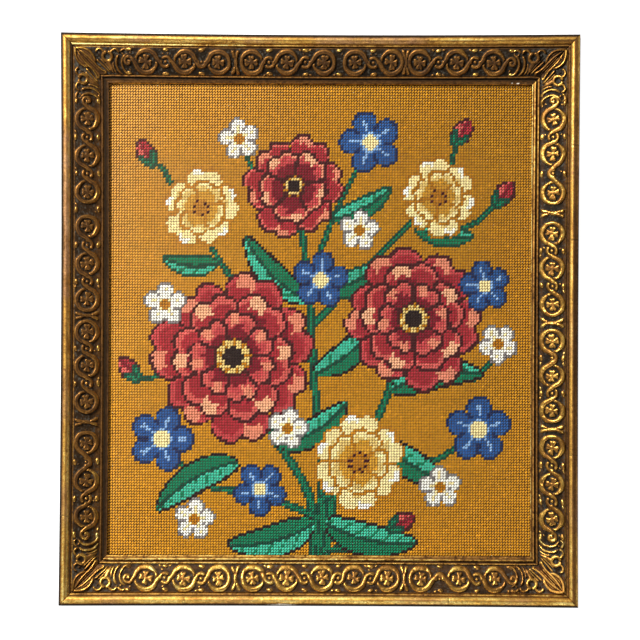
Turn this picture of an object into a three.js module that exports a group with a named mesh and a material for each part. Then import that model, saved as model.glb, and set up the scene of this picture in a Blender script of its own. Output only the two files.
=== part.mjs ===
// Framed needlepoint picture, lying on its back.
//
// Millimetres, +Z up. The picture's face looks along +Z and its top edge is
// towards +Y. The origin is at the middle of the underside.
//
//   rail_top, rail_bottom, rail_left, rail_right   the four mitred rails of the gilt frame
//   needlepoint                                    the stitched canvas, held in the rails' rabbet

import * as THREE from 'three';

// ---------------------------------------------------------------- sizes

const FRAME_WIDTH = 401;          // outer edge to outer edge, along X
const FRAME_HEIGHT = 442.5;       // outer edge to outer edge, along Y
const SIDE_RAIL_WIDTH = 36.7;     // outer edge to sight edge of the left and right rails
const END_RAIL_WIDTH = 38.9;      // the same for the top and bottom rails
const MITRE_GAP = 0.3;            // open joint between two rails, measured square to the mitre

const RABBET_WIDTH = 8;           // how far the rabbet runs in under the rail's front
const RABBET_LEDGE_Z = 11.8;      // underside of the lip that holds the canvas back

const CANVAS_THICKNESS = 2.4;     // canvas with its wool
const CANVAS_FACE_Z = 11.05;      // mean height of the stitched face
const CANVAS_EDGE_CLEAR = 0.6;    // canvas edge to rabbet wall
const CANVAS_CELL = 18;           // size of the facets that carry the slack in the canvas

// The moulding, from the outer edge of the frame in to the sight edge.
// across: distance in from the outer edge, on a rail of MOULDING_WIDTH
// up: height of the front surface there
const MOULDING_WIDTH = 38;
const BEAD_RADIUS = 3.8;
const BEAD_CENTRE_Z = 21.2;
const BEAD_STEPS = 10;
const MOULDING = [
  { part: 'fillet, outer edge',        across: 7.7,  up: 21.3 },
  { part: 'fillet, inner edge',        across: 9.2,  up: 21.2 },
  { part: 'outer groove, outer wall',  across: 9.5,  up: 20.0 },
  { part: 'outer groove, inner wall',  across: 10.5, up: 19.9 },
  { part: 'ornament band, outer edge', across: 10.8, up: 21.0 },
  { part: 'ornament band, upper part', across: 15.5, up: 20.3 },
  { part: 'ornament band, middle',     across: 21.0, up: 18.7 },
  { part: 'ornament band, lower part', across: 26.5, up: 16.6 },
  { part: 'ornament band, inner edge', across: 31.2, up: 14.4 },
  { part: 'inner groove, outer wall',  across: 31.4, up: 13.6 },
  { part: 'inner groove, inner wall',  across: 31.9, up: 13.6 },
  { part: 'thin fillet, outer edge',   across: 32.1, up: 14.5 },
  { part: 'thin fillet, inner edge',   across: 33.3, up: 14.3 },
  { part: 'quirk, outer wall',         across: 33.6, up: 13.2 },
  { part: 'quirk, inner wall',         across: 34.9, up: 13.2 },
  { part: 'sight lip, outer edge',     across: 35.3, up: 14.3 },
  { part: 'sight lip, crown',          across: 36.4, up: 14.6 },
  { part: 'sight lip, rounding',       across: 37.5, up: 14.2 },
  { part: 'sight edge, top',           across: 38.0, up: 13.4 },
];

// Slack in the canvas: low swells, each a half wave across the whole canvas or
// a fraction of it.
// height: crest of the swell; waves_x, waves_y: half waves across each way;
// shift_x, shift_y: where along its length the wave starts, in half waves
const SLACK = [
  { height: 0.16, waves_x: 1, waves_y: 1, shift_x: 0.00, shift_y: 0.00 },
  { height: 0.07, waves_x: 3, waves_y: 2, shift_x: 0.35, shift_y: 0.10 },
  { height: 0.05, waves_x: 2, waves_y: 5, shift_x: 0.80, shift_y: 0.45 },
];

// ---------------------------------------------------------------- finishes

const gilding = new THREE.MeshStandardMaterial({
  name: 'gilding', color: 0xa67a38, roughness: 0.46, metalness: 0.55,
});
const wool = new THREE.MeshStandardMaterial({
  name: 'wool', color: 0xb38b45, roughness: 0.92, metalness: 0,
});

// ---------------------------------------------------------------- rails

// Section of one rail: x runs in from the outer edge, y is height.
function railSection(railWidth) {
  const stretch = railWidth / MOULDING_WIDTH;
  const section = new THREE.Shape();
  section.moveTo(0, 0);
  section.lineTo(railWidth - RABBET_WIDTH, 0);
  section.lineTo(railWidth - RABBET_WIDTH, RABBET_LEDGE_Z);
  section.lineTo(railWidth, RABBET_LEDGE_Z);
  for (const row of [...MOULDING].reverse()) {
    section.lineTo(row.across * stretch, row.up);
  }
  // the outer bead, from its inner foot over the crown to the outer side
  for (let i = 0; i <= BEAD_STEPS; i += 1) {
    const turn = (i / BEAD_STEPS) * Math.PI;
    section.lineTo(
      BEAD_RADIUS * (1 + Math.cos(turn)) * stretch,
      BEAD_CENTRE_Z + BEAD_RADIUS * Math.sin(turn),
    );
  }
  section.closePath();
  return section;
}

// A rail runs along its own z, from one mitre to the other. Each end is cut so
// that it meets the next rail on the line from the outer to the inner corner.
function railGeometry(length, railWidth, nextRailWidth) {
  const geometry = new THREE.ExtrudeGeometry(railSection(railWidth), {
    depth: length, steps: 1, bevelEnabled: false, curveSegments: 1,
  });
  const slope = nextRailWidth / railWidth;
  const saw = (MITRE_GAP / 2) * Math.hypot(1, slope);
  const place = geometry.getAttribute('position');
  for (let i = 0; i < place.count; i += 1) {
    const cut = place.getX(i) * slope + saw;
    place.setZ(i, place.getZ(i) < length / 2 ? cut : length - cut);
  }
  geometry.deleteAttribute('uv');
  geometry.computeVertexNormals();
  return geometry;
}

// turn: where the rail lies round the frame, in quarter turns from the bottom rail
const RAILS = [
  { name: 'rail_bottom', turn: 0, length: FRAME_WIDTH,  width: END_RAIL_WIDTH,  next: SIDE_RAIL_WIDTH, reach: FRAME_HEIGHT / 2 },
  { name: 'rail_right',  turn: 1, length: FRAME_HEIGHT, width: SIDE_RAIL_WIDTH, next: END_RAIL_WIDTH,  reach: FRAME_WIDTH / 2 },
  { name: 'rail_top',    turn: 2, length: FRAME_WIDTH,  width: END_RAIL_WIDTH,  next: SIDE_RAIL_WIDTH, reach: FRAME_HEIGHT / 2 },
  { name: 'rail_left',   turn: 3, length: FRAME_HEIGHT, width: SIDE_RAIL_WIDTH, next: END_RAIL_WIDTH,  reach: FRAME_WIDTH / 2 },
];

const picture = new THREE.Group();
picture.name = 'framed_needlepoint_picture';

for (const row of RAILS) {
  const geometry = railGeometry(row.length, row.width, row.next);
  // lay the section in the upright plane with its inward direction along +Y,
  // and the rail's length along X
  const lay = new THREE.Matrix4().set(
    0, 0, -1, row.length / 2,
    1, 0, 0, -row.reach,
    0, 1, 0, 0,
    0, 0, 0, 1,
  );
  geometry.applyMatrix4(lay);
  // the lay above turns the section over, so its triangles are turned back
  if (lay.determinant() < 0) {
    const place = geometry.getAttribute('position');
    for (let i = 0; i < place.count; i += 3) {
      const a = new THREE.Vector3().fromBufferAttribute(place, i + 1);
      const b = new THREE.Vector3().fromBufferAttribute(place, i + 2);
      place.setXYZ(i + 1, b.x, b.y, b.z);
      place.setXYZ(i + 2, a.x, a.y, a.z);
    }
    geometry.computeVertexNormals();
  }
  const rail = new THREE.Mesh(geometry, gilding);
  rail.name = row.name;
  rail.rotation.z = (row.turn * Math.PI) / 2;
  picture.add(rail);
}

// ---------------------------------------------------------------- canvas

const canvasWidth = FRAME_WIDTH - 2 * (SIDE_RAIL_WIDTH - RABBET_WIDTH + CANVAS_EDGE_CLEAR);
const canvasHeight = FRAME_HEIGHT - 2 * (END_RAIL_WIDTH - RABBET_WIDTH + CANVAS_EDGE_CLEAR);

// Rise of the canvas at x, y, dying out towards its edges, where it is held flat.
function slackAt(x, y) {
  const across = x / canvasWidth + 0.5;
  const along = y / canvasHeight + 0.5;
  const held = Math.min(1, 5 * Math.min(across, 1 - across, along, 1 - along));
  let rise = 0;
  for (const row of SLACK) {
    rise += row.height
      * Math.sin(Math.PI * (row.waves_x * across + row.shift_x))
      * Math.sin(Math.PI * (row.waves_y * along + row.shift_y));
  }
  return rise * held;
}

const canvasGeometry = new THREE.BoxGeometry(
  canvasWidth, canvasHeight, CANVAS_THICKNESS,
  Math.round(canvasWidth / CANVAS_CELL), Math.round(canvasHeight / CANVAS_CELL), 1,
);
{
  const place = canvasGeometry.getAttribute('position');
  for (let i = 0; i < place.count; i += 1) {
    const x = place.getX(i);
    const y = place.getY(i);
    place.setZ(i, CANVAS_FACE_Z - CANVAS_THICKNESS / 2 + place.getZ(i) + slackAt(x, y));
  }
  canvasGeometry.deleteAttribute('uv');
  canvasGeometry.computeVertexNormals();
}
const needlepoint = new THREE.Mesh(canvasGeometry, wool);
needlepoint.name = 'needlepoint';
picture.add(needlepoint);

export default picture;
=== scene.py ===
"""The framed needlepoint picture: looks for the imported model, in metres, in the same frame as the CAD.

The frame's four rails are carved height fields on the CAD rails' own sizes: the moulding, and on its
band the pressed guilloche, rosettes, pearls and corner leaves. The needlepoint is a canvas sheet with
every visible tent stitch on it as geometry. The worked design is a plain posy, drawn by rule.
"""

import math

import bpy
import numpy as np
from mathutils import Matrix, Vector

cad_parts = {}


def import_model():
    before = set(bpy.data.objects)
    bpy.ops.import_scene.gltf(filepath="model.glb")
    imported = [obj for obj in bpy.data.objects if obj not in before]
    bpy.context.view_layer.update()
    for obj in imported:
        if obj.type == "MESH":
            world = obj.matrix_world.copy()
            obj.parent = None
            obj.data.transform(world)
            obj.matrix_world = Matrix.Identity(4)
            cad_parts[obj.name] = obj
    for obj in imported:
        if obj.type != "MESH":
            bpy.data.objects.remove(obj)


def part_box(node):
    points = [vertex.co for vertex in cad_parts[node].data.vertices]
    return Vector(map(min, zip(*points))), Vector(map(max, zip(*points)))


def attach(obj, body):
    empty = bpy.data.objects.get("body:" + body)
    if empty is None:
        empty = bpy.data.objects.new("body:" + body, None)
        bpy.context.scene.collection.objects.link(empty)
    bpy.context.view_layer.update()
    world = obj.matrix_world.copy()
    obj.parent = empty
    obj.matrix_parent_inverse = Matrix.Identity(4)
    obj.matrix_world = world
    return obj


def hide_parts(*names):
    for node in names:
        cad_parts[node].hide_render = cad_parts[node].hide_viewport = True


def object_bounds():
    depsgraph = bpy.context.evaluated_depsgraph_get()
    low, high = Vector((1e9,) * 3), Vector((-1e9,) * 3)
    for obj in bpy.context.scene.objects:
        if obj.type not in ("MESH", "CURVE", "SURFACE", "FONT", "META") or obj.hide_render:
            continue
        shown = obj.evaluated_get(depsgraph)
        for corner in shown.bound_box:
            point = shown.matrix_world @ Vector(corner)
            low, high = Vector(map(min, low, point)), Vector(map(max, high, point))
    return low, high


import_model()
CAD_BOX = [[float(x) for x in corner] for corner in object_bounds()]
MM = 0.001

# ------------------------------------------------------------------ the moulding and its ornament
# Everything here is in millimetres on one rail laid flat: s runs along the rail from its left outer
# corner, u runs in from the outer edge to the sight edge, and heights are above the underside.

MOULDING_WIDTH = 38.0
BEAD_R = 3.8
BEAD_Z = 21.2
#            u      z      (the plain moulding behind the ornament)
PROFILE = np.array([
    (7.55, 21.30), (7.80, 21.62), (8.90, 21.60), (9.20, 21.25),     # fillet inside the bead
    (9.42, 20.05), (9.88, 19.85), (10.18, 20.70),                   # groove
    (15.5, 19.70), (21.0, 18.15), (26.5, 16.05), (31.1, 13.95),     # ornament band, falling inwards
    (31.25, 13.35), (31.50, 13.35),                                 # groove
    (31.75, 14.40), (32.30, 14.62), (32.85, 14.30),                 # thin fillet
    (33.15, 13.15), (33.70, 12.95),                                 # quirk
    (34.15, 12.95), (34.38, 13.85), (34.80, 14.60), (35.50, 14.50), # sight lip, outer crest
    (36.35, 14.02), (36.85, 14.30), (37.35, 14.55), (37.75, 13.95), (38.0, 12.90),
])
BAND = (10.4, 31.0)          # the ornament lies between these
MID = 20.75                  # the guilloche's centre line
PX = 0.772                   # the ornament's own unit of measure, a little under a millimetre

RING_R = 10.75 * PX          # centre line of a ring's strap
EYE_R = 4.7 * PX             # centre line of an eye's strap
STRAP = 2.13                 # half width of a strap where it lies on top
UNDER = 0.90                 # and where it dips under
STRAP_H = 1.75
ROSETTE_R = 6.0

# Rings along each rail, from its left corner, and what lies after each ring:
# L and R are an eye with the straps interlaced one way or the other, E and U an eye with both straps
# round its inner or its outer side, J a joint between two pressed lengths, C two rings that nearly touch.
RINGS = {
    "bottom": ([87.1, 125.1, 160.1, 194.1, 228.1, 263.1, 295.1, 329.1, 362.1, 400.1, 436.1], "LLJRRLLJERv"),
    "right": ([88.3, 123.3, 160.3, 196.3, 232.3, 266.3, 303.3, 339.3, 374.3, 414.3, 453.3, 488.3], "LLJRUJLLJERv"),
    "top": ([86.3, 123.3, 160.3, 188.3, 225.3, 256.3, 293.3, 328.3, 361.3, 395.3, 434.3], "LLJRCLLJERv"),
    "left": ([86.0, 123.0, 159.0, 194.0, 231.0, 267.0, 299.0, 333.0, 369.0, 410.0, 448.0, 484.0], "LLCLLJLLJERv"),
}


def smooth(lo, hi, x):
    t = np.clip((x - lo) / (hi - lo), 0.0, 1.0)
    return t * t * (3 - 2 * t)


def value_noise(x, y, seed):
    """Smooth noise from -1 to 1 on a unit grid."""
    xi, yi = np.floor(x).astype(np.int64), np.floor(y).astype(np.int64)
    fx, fy = x - xi, y - yi
    fx, fy = fx * fx * (3 - 2 * fx), fy * fy * (3 - 2 * fy)

    def at(i, j):
        h = (i * 374761393 + j * 668265263 + seed * 2246822519) & 0xFFFFFFFF
        h = ((h ^ (h >> 13)) * 1274126177) & 0xFFFFFFFF
        h = h ^ (h >> 16)
        return (h & 0xFFFFFF) / float(0xFFFFFF) * 2 - 1

    a, b = at(xi, yi), at(xi + 1, yi)
    c, d = at(xi, yi + 1), at(xi + 1, yi + 1)
    return (a * (1 - fx) + b * fx) * (1 - fy) + (c * (1 - fx) + d * fx) * fy


def fractal(x, y, seed, octaves=3):
    total, size = 0.0, 1.0
    for k in range(octaves):
        total = total + value_noise(x * 2**k, y * 2**k, seed + 17 * k) * size
        size *= 0.5
    return total / 1.75


def plain_height(u):
    """Height of the plain moulding at u, for a rail of the standard width."""
    z = np.interp(u, PROFILE[:, 0], PROFILE[:, 1])
    d = np.clip((u - BEAD_R) / BEAD_R, -1, 1)
    bead = BEAD_Z + BEAD_R * np.sqrt(np.maximum(0.0, 1 - d * d))
    return np.where(u < 2 * BEAD_R, np.maximum(bead, np.where(u > 7.4, z, 0.0)), z)


def to_segment(s, t, a, b):
    """Distance to the segment from a to b, and how far along it the nearest point is."""
    ax, ay = a
    dx, dy = b[0] - ax, b[1] - ay
    k = np.clip(((s - ax) * dx + (t - ay) * dy) / max(dx * dx + dy * dy, 1e-9), 0, 1)
    return np.hypot(s - ax - k * dx, t - ay - k * dy), k


def to_arc(s, t, c, r, a0, a1):
    """Distance to the arc about c of radius r that runs anticlockwise from angle a0 to a1, in degrees."""
    ang = np.degrees(np.arctan2(t - c[1], s - c[0]))
    rel = (ang - a0) % 360.0
    span = (a1 - a0) % 360.0 or 360.0
    on = rel <= span
    rho = np.hypot(s - c[0], t - c[1])
    ends = [
        np.hypot(s - c[0] - r * math.cos(math.radians(e)), t - c[1] - r * math.sin(math.radians(e)))
        for e in (a0, a1)
    ]
    return np.where(on, np.abs(rho - r), np.minimum(*ends))


def to_curve(s, t, points):
    """Distance to a smooth curve through the points, and how far along it, from 0 to 1, the nearest place is."""
    p = np.array(points, float)
    fine = []
    n = len(p)
    for i in range(n - 1):
        p0, p1, p2, p3 = p[max(i - 1, 0)], p[i], p[i + 1], p[min(i + 2, n - 1)]
        for k in np.linspace(0, 1, 5)[: 5 if i == n - 2 else 4]:
            fine.append(
                0.5 * ((2 * p1) + (p2 - p0) * k + (2 * p0 - 5 * p1 + 4 * p2 - p3) * k**2 + (3 * p1 - p0 - 3 * p2 + p3) * k**3)
            )
    fine = np.array(fine)
    best, where = np.full(np.shape(s), 1e9), np.zeros(np.shape(s))
    for i in range(len(fine) - 1):
        d, k = to_segment(s, t, fine[i], fine[i + 1])
        near = d < best
        best, where = np.where(near, d, best), np.where(near, (i + k) / (len(fine) - 1), where)
    return best, where


def strap_section(d, half, h):
    """A strap's height at distance d from its centre line: rounded, a touch hollow along the middle."""
    q = np.clip(d / half, 0, 1)
    return h * (1 - q**3.0) * (1 - 0.07 * np.exp(-((q / 0.35) ** 2)))


def stroke(height, s, t, points, half, h, ends=(0.25, 0.35)):
    """A raised stroke along a curve, tapering at its ends."""
    d, k = to_curve(s, t, points)
    fat = half * np.clip(smooth(0, ends[0], k) + 0.25, 0, 1) * np.clip(smooth(0, ends[1], 1 - k) + 0.25, 0, 1)
    q = np.clip(d / np.maximum(fat, 1e-6), 0, 1)
    return np.maximum(height, h * (1 - q**2.4) * (0.55 + 0.45 * fat / half))


def drop(height, s, t, c, long, wide, turn, h):
    """A raised pearl or drop."""
    ca, sa = math.cos(turn), math.sin(turn)
    x, y = (s - c[0]) * ca + (t - c[1]) * sa, -(s - c[0]) * sa + (t - c[1]) * ca
    q = np.clip((x / long) ** 2 + (y / wide) ** 2, 0, 1)
    return np.maximum(height, h * np.sqrt(1 - q))


def rosette(s, t, c, turn, size, rng):
    """A cross of four flared petals, each a little notched at its end, with a small boss."""
    ca, sa = math.cos(turn), math.sin(turn)
    x, y = (s - c[0]) * ca + (t - c[1]) * sa, -(s - c[0]) * sa + (t - c[1]) * ca
    out = np.zeros(np.shape(s))
    for k in range(4):
        a = k * math.pi / 2 + rng.uniform(-0.16, 0.16)
        px, py = x * math.cos(a) + y * math.sin(a), -x * math.sin(a) + y * math.cos(a)
        reach = 0.92 * size * rng.uniform(0.86, 1.07)
        lobes = 0.16 * np.sin(2.3 * px + rng.uniform(-0.5, 0.5)) * smooth(0.8, 2.0, px)
        half = (0.86 + 0.42 * px + lobes - 0.75 * smooth(4.6, 5.9, px)) * rng.uniform(0.90, 1.12)
        end = reach - 0.55 * np.exp(-(((py - rng.uniform(-0.3, 0.3)) / 0.45) ** 2)) - 0.06 * py * py
        side = smooth(0.0, 0.50, half - np.abs(py))
        tip = smooth(0.0, 0.55, end - px) * smooth(-0.2, 0.5, px)
        out = np.maximum(out, 1.40 * side * tip * (0.90 + 0.10 * smooth(0.8, 3.8, px)))
        # a small pointed leaf between two petals
        qx, qy = (px + py) * math.sqrt(0.5), (py - px) * math.sqrt(0.5)
        point = rng.uniform(3.3, 4.3)
        out = np.maximum(out, 0.45 * smooth(0.0, 0.40, 0.58 - 0.10 * qx - np.abs(qy)) * smooth(0.0, 0.6, point - qx) * smooth(0.6, 1.4, qx))
    rho = np.hypot(x, y)
    return np.maximum(out, 1.44 * np.sqrt(np.clip(1 - (rho / 1.10) ** 2, 0, 1)))


def over_kind(kind, side):
    """1 if the strap over the ring lies on top on that side of it, -1 if the one under the ring does."""
    if kind in "EU":
        return 1.0 if kind == "U" else -1.0
    return 1.0 if (kind == "L") != (side > 0) else -1.0


def guilloche(s, t, rail, rng):
    """Height of the running ornament above the band, at distances s along the rail and t in from the centre line."""
    centres, kinds = RINGS[rail]
    centres = [c * PX for c in centres]
    height = np.zeros(np.shape(s))
    pearls = np.zeros(np.shape(s))
    n = len(centres)
    rings = [(c + rng.uniform(-0.25, 0.25), rng.uniform(-0.22, 0.22), RING_R * rng.uniform(0.975, 1.02)) for c in centres]
    strap_h = [STRAP_H * rng.uniform(0.94, 1.05) for _ in rings]

    # What lies on each side of a ring: an eye (its centre, radius and kind) or nothing.
    eyes = []
    for i in range(n - 1):
        (a, ta, ra), (b, tb, rb) = rings[i], rings[i + 1]
        mid, half = (a + b) / 2, (b - a) / 2
        kind = kinds[i]
        r = min(EYE_R, half * 0.955 - RING_R)
        if kind in "EU":
            r = min(r, 3.1)
        if kind in "LREU" and r > 2.0:
            eyes.append((mid, (ta + tb) / 2, r, kind))
        else:
            eyes.append((mid, (ta + tb) / 2, 0.0, kind if kind in "JC" else "C"))
    volutes = {
        -1: (rings[0][0] - 18.2 * PX, rings[0][1], EYE_R * 1.02, "L"),
        n - 1: (rings[-1][0] + 18.2 * PX, rings[-1][1], EYE_R * 1.02, "R"),
    }

    def tangent(ring, eye, side, ring_top):
        """Where the strap that runs over (or under) a ring leaves it for the far side of the eye."""
        (cx, cy, r), (ex, ey, er, _) = ring, eye
        dx, dy = ex - cx, ey - cy
        dist = math.hypot(dx, dy)
        base = math.atan2(dy, dx)
        lean = math.acos(min(0.985, (r + er) / dist))
        turn = base + (lean if ring_top == (side > 0) else -lean)
        p = (cx + r * math.cos(turn), cy + r * math.sin(turn))
        q = (ex - er * math.cos(turn), ey - er * math.sin(turn))
        return math.degrees(turn), p, q

    for i, ring in enumerate(rings):
        cx, cy, r = ring
        near = np.abs(s - cx) < 24
        if not near.any():
            continue
        ss, tt = s[near], t[near]
        sides = {-1: volutes[-1] if i == 0 else eyes[i - 1], 1: volutes[n - 1] if i == n - 1 else eyes[i]}
        reach = {}
        upper, lower = [], []       # distances to the strap over the ring and the one under it
        for side, eye in sides.items():
            if eye[2] <= 0:
                reach[side] = (0.0 if side > 0 else 180.0,) * 2
                continue
            up, p, q = tangent(ring, eye, side, True)
            dn, p2, q2 = tangent(ring, eye, side, False)
            # the strap on top leaves the ring for the eye; the other goes on round the ring and dies away
            if over_kind(eye[3], side) > 0:
                reach[side] = (up, 12.0 if side > 0 else 168.0)
                upper.append(to_segment(ss, tt, p, q)[0])
            else:
                reach[side] = (-12.0 if side > 0 else 192.0, dn)
                lower.append(to_segment(ss, tt, p2, q2)[0])
        top = to_arc(ss, tt, (cx, cy), r, reach[1][0], reach[-1][0])
        low = to_arc(ss, tt, (cx, cy), r, reach[-1][1], reach[1][1])
        d_up, d_low = np.minimum.reduce([top, *upper]), np.minimum.reduce([low, *lower])
        # the eye is two hooks: each is the end of the strap that lies on top on its side
        for side, eye in sides.items():
            if eye[2] <= 0:
                continue
            ex, ey, er, kind = eye
            lone = (side < 0 and i == 0) or (side > 0 and i == n - 1)
            if lone:
                # the volute: the strap winds in under, round and over the eye
                d_up = np.minimum(d_up, to_curve(ss, tt, [
                    (ex - side * er * (1 - 0.70 * k**1.3) * math.cos(a), ey - er * (1 - 0.62 * k**1.3) * math.sin(a))
                    for k in np.linspace(0, 1, 9) for a in [math.radians(345 * k + 8)]
                ])[0])
            elif kind in "EU":
                half = (ss - ex) * side < 0.02
                bow = to_arc(ss, tt, (ex, ey), er, *((0, 180) if kind == "E" else (180, 360)))
                if kind == "E":
                    d_low = np.where(half, np.minimum(d_low, bow), d_low)
                else:
                    d_up = np.where(half, np.minimum(d_up, bow), d_up)
            elif kind == "L":
                if side > 0:
                    d_low = np.minimum(d_low, to_arc(ss, tt, (ex, ey), er, 58, 182))
                else:
                    d_up = np.minimum(d_up, to_arc(ss, tt, (ex, ey), er, 238, 362))
            else:
                if side > 0:
                    d_up = np.minimum(d_up, to_arc(ss, tt, (ex, ey), er, 178, 302))
                else:
                    d_low = np.minimum(d_low, to_arc(ss, tt, (ex, ey), er, -2, 122))
        # which strap lies on top, on each side of the ring
        over = np.zeros(np.shape(ss))
        for side, eye in sides.items():
            here = (ss - cx) * side > 0
            top_is_over = over_kind(eye[3], side) if eye[2] > 0 else 0.0
            over = np.where(here, top_is_over, over)
        # a strap is broad where it is on top, and narrows on its way under the other
        swing = np.clip((ss - cx) / (r * 0.8), -1, 1)
        close = np.where(ss > cx, sides[1][3] in "EU", sides[-1][3] in "EU")
        thin = 1 + np.where(close, 0.10, 0.62) * smooth(r * 0.92, r + 2.6, np.abs(ss - cx))
        d_up, d_low = d_up * thin, d_low * thin
        halves = []
        for sign in (1, -1):
            under = np.zeros(np.shape(ss))
            for side in (-1, 1):
                lies = over_kind(sides[side][3], side) * sign if sides[side][2] > 0 else 0.35
                if lies < 1:
                    under = np.maximum(under, smooth(0.50, 1.22, side * swing) * (1 - lies) / 2)
            halves.append(STRAP - (STRAP - UNDER) * under)
        half_up, half_low = halves
        h_up = strap_section(d_up, half_up, strap_h[i])
        h_low = strap_section(d_low, half_low, strap_h[i])
        gap_up = smooth(half_low * 0.88, half_low + 0.75, d_low)
        gap_low = smooth(half_up * 0.88, half_up + 0.75, d_up)
        h_up = np.where(over < 0, h_up * gap_up, h_up)
        h_low = np.where(over > 0, h_low * gap_low, h_low)
        mix = np.maximum(h_up, h_low)
        petals = rosette(ss, tt, (cx + rng.uniform(-0.3, 0.3), cy + rng.uniform(-0.3, 0.3)), rng.uniform(-0.22, 0.22), ROSETTE_R * rng.uniform(0.95, 1.04), rng)
        mix = np.maximum(mix, petals)
        height[near] = np.maximum(height[near], mix)

    edge_t = 8.8
    for i, eye in enumerate([*eyes, volutes[-1], volutes[n - 1]]):
        ex, ey, er, kind = eye
        near = np.abs(s - ex) < 9
        ss, tt, h = s[near], t[near], height[near]
        if er > 0:
            h = drop(h, ss, tt, (ex, ey), 1.25, 1.25, 0, 1.35 if kind != "J" else 1.0)
        if kind == "C":
            pass
        if kind == "J":
            # two lengths meet: a spine that flares into a leaf at each edge, split by a ragged crack
            w = rng.uniform(-0.45, 0.45, 8)
            h = stroke(h, ss, tt, [(ex + w[0], ey - 4.4), (ex + w[1] * 0.6, ey), (ex + w[2], ey + 4.4)], 1.60, 1.60, (0.25, 0.25))
            for sign in (-1, 1):
                for way in (-1, 1):
                    j = w[3 + (sign > 0) * 2 + (way > 0)]
                    pts = [(ex + way * 0.5, ey + sign * 3.0), (ex + way * 1.1, ey + sign * 5.4), (ex + way * (1.9 + j), ey + sign * 7.4), (ex + way * (3.0 + j), ey + sign * 8.9)]
                    h = stroke(h, ss, tt, pts, 1.50, 1.60, (0.25, 0.30))
            crack = ex + 0.45 * value_noise(tt * 0.55, np.zeros(np.shape(tt)), 5 + i) + 0.15 * value_noise(tt * 1.9, np.zeros(np.shape(tt)), 9 + i)
            h = h - 0.6 * np.exp(-(((ss - crack) / 0.24) ** 2))
        for sign in (-1, 1):
            y = ey + sign * (edge_t + rng.uniform(-0.2, 0.25))
            wide = rng.uniform(1.0, 1.35)
            if kind != "J":
                place = (ex + rng.uniform(-0.4, 0.4), y), wide * 2.15, wide * 1.22, rng.uniform(-0.25, 0.25)
                h = drop(h, ss, tt, *place, 1.30)
                pearls[near] = drop(pearls[near], ss, tt, *place, 1.0)
            for way in (-1, 1):
                if kind != "J" and rng.uniform() < 0.32:
                    at = (ex + way * rng.uniform(3.7, 4.3), ey + sign * (edge_t + 0.40))
                    h = drop(h, ss, tt, at, 1.35, 0.70, way * sign * 0.45, 1.05)
                if kind != "J" and rng.uniform() < 0.18:
                    at = (ex + way * rng.uniform(1.5, 2.2), ey + sign * (edge_t - 2.5))
                    h = drop(h, ss, tt, at, 1.0, 0.60, way * sign * 0.9, 0.85)
        height[near] = h
    return height, pearls


# The corner: half of the leaf that lies on the mitre, then a petal, a curled loop and two arcs that
# close the guilloche off. Points are a, along the rail from the outer corner, and u, in from the outer edge.
LEAF_RIM = [(15.0, 15.2), (18.4, 14.9), (23.0, 15.4), (27.8, 17.4), (31.4, 20.8), (33.6, 24.8), (34.4, 28.2)]
RIB_EDGE = [(17.4, 16.4), (22.8, 19.8), (28.2, 23.8), (33.2, 28.8), (37.6, 33.2), (42.0, 36.2), (44.8, 37.6), (43.4, 39.6)]
CORNER_STROKES = [
    # half width, height, ends, points
    (1.15, 2.15, (0.02, 0.22), LEAF_RIM),
    (0.98, 2.00, (0.20, 0.12), RIB_EDGE),
    (0.50, 1.30, (0.30, 0.40), [(20.8, 16.9), (25.8, 19.0), (29.8, 22.6), (32.0, 26.8)]),
    (0.55, 1.45, (0.30, 0.25), [(20.6, 19.2), (27.0, 25.6), (34.0, 32.4), (39.4, 37.4)]),
    # the petal between the leaf and the loop: its lower edge, its upper edge, its body
    (0.80, 1.80, (0.20, 0.15), [(35.8, 25.8), (39.2, 29.0), (43.4, 32.6), (49.4, 38.4)]),
    (0.62, 1.55, (0.30, 0.20), [(38.6, 24.6), (42.0, 27.8), (45.6, 31.6), (50.6, 37.4)]),
    (2.35, 1.70, (0.50, 0.10), [(52.6, 38.4), (50.2, 34.0), (48.4, 30.8), (46.8, 27.6)]),
    # nested arcs round the end of the guilloche
    (0.95, 1.75, (0.20, 0.20), [(71.5, 39.4), (66.2, 38.6), (62.4, 34.0), (60.9, 28.4), (62.4, 23.0), (66.4, 19.6)]),
    (0.95, 1.75, (0.25, 0.20), [(61.6, 39.6), (57.8, 36.2), (55.6, 30.8), (55.6, 25.0), (57.8, 20.8)]),
    (0.75, 1.50, (0.30, 0.30), [(56.2, 39.4), (53.6, 35.4), (52.3, 31.0), (52.5, 27.6)]),
    # scallops along the outer side, that curl in to the loop
    (0.90, 1.85, (0.15, 0.10), [(34.8, 18.8), (36.0, 16.4), (38.6, 15.4), (41.2, 16.4), (43.2, 18.8)]),
    (0.90, 1.85, (0.15, 0.10), [(58.0, 19.2), (56.8, 16.6), (54.2, 15.4), (51.6, 16.4), (49.6, 18.8)]),
    (0.80, 1.60, (0.20, 0.30), [(59.2, 18.0), (61.6, 15.8), (64.6, 15.4), (66.8, 17.6)]),
]
CORNER_DROPS = [
    # a, u, long, wide, turn, height
    (61.8, 20.0, 1.5, 0.9, 0.9, 1.1),
    (69.4, 15.6, 2.1, 1.3, 0.0, 1.45),
    (69.0, 38.8, 2.1, 1.3, 0.0, 1.45),
    (38.6, 20.6, 1.5, 0.9, 1.1, 1.1),
]


LOOP = (46.4, 22.8, 4.5)


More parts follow.
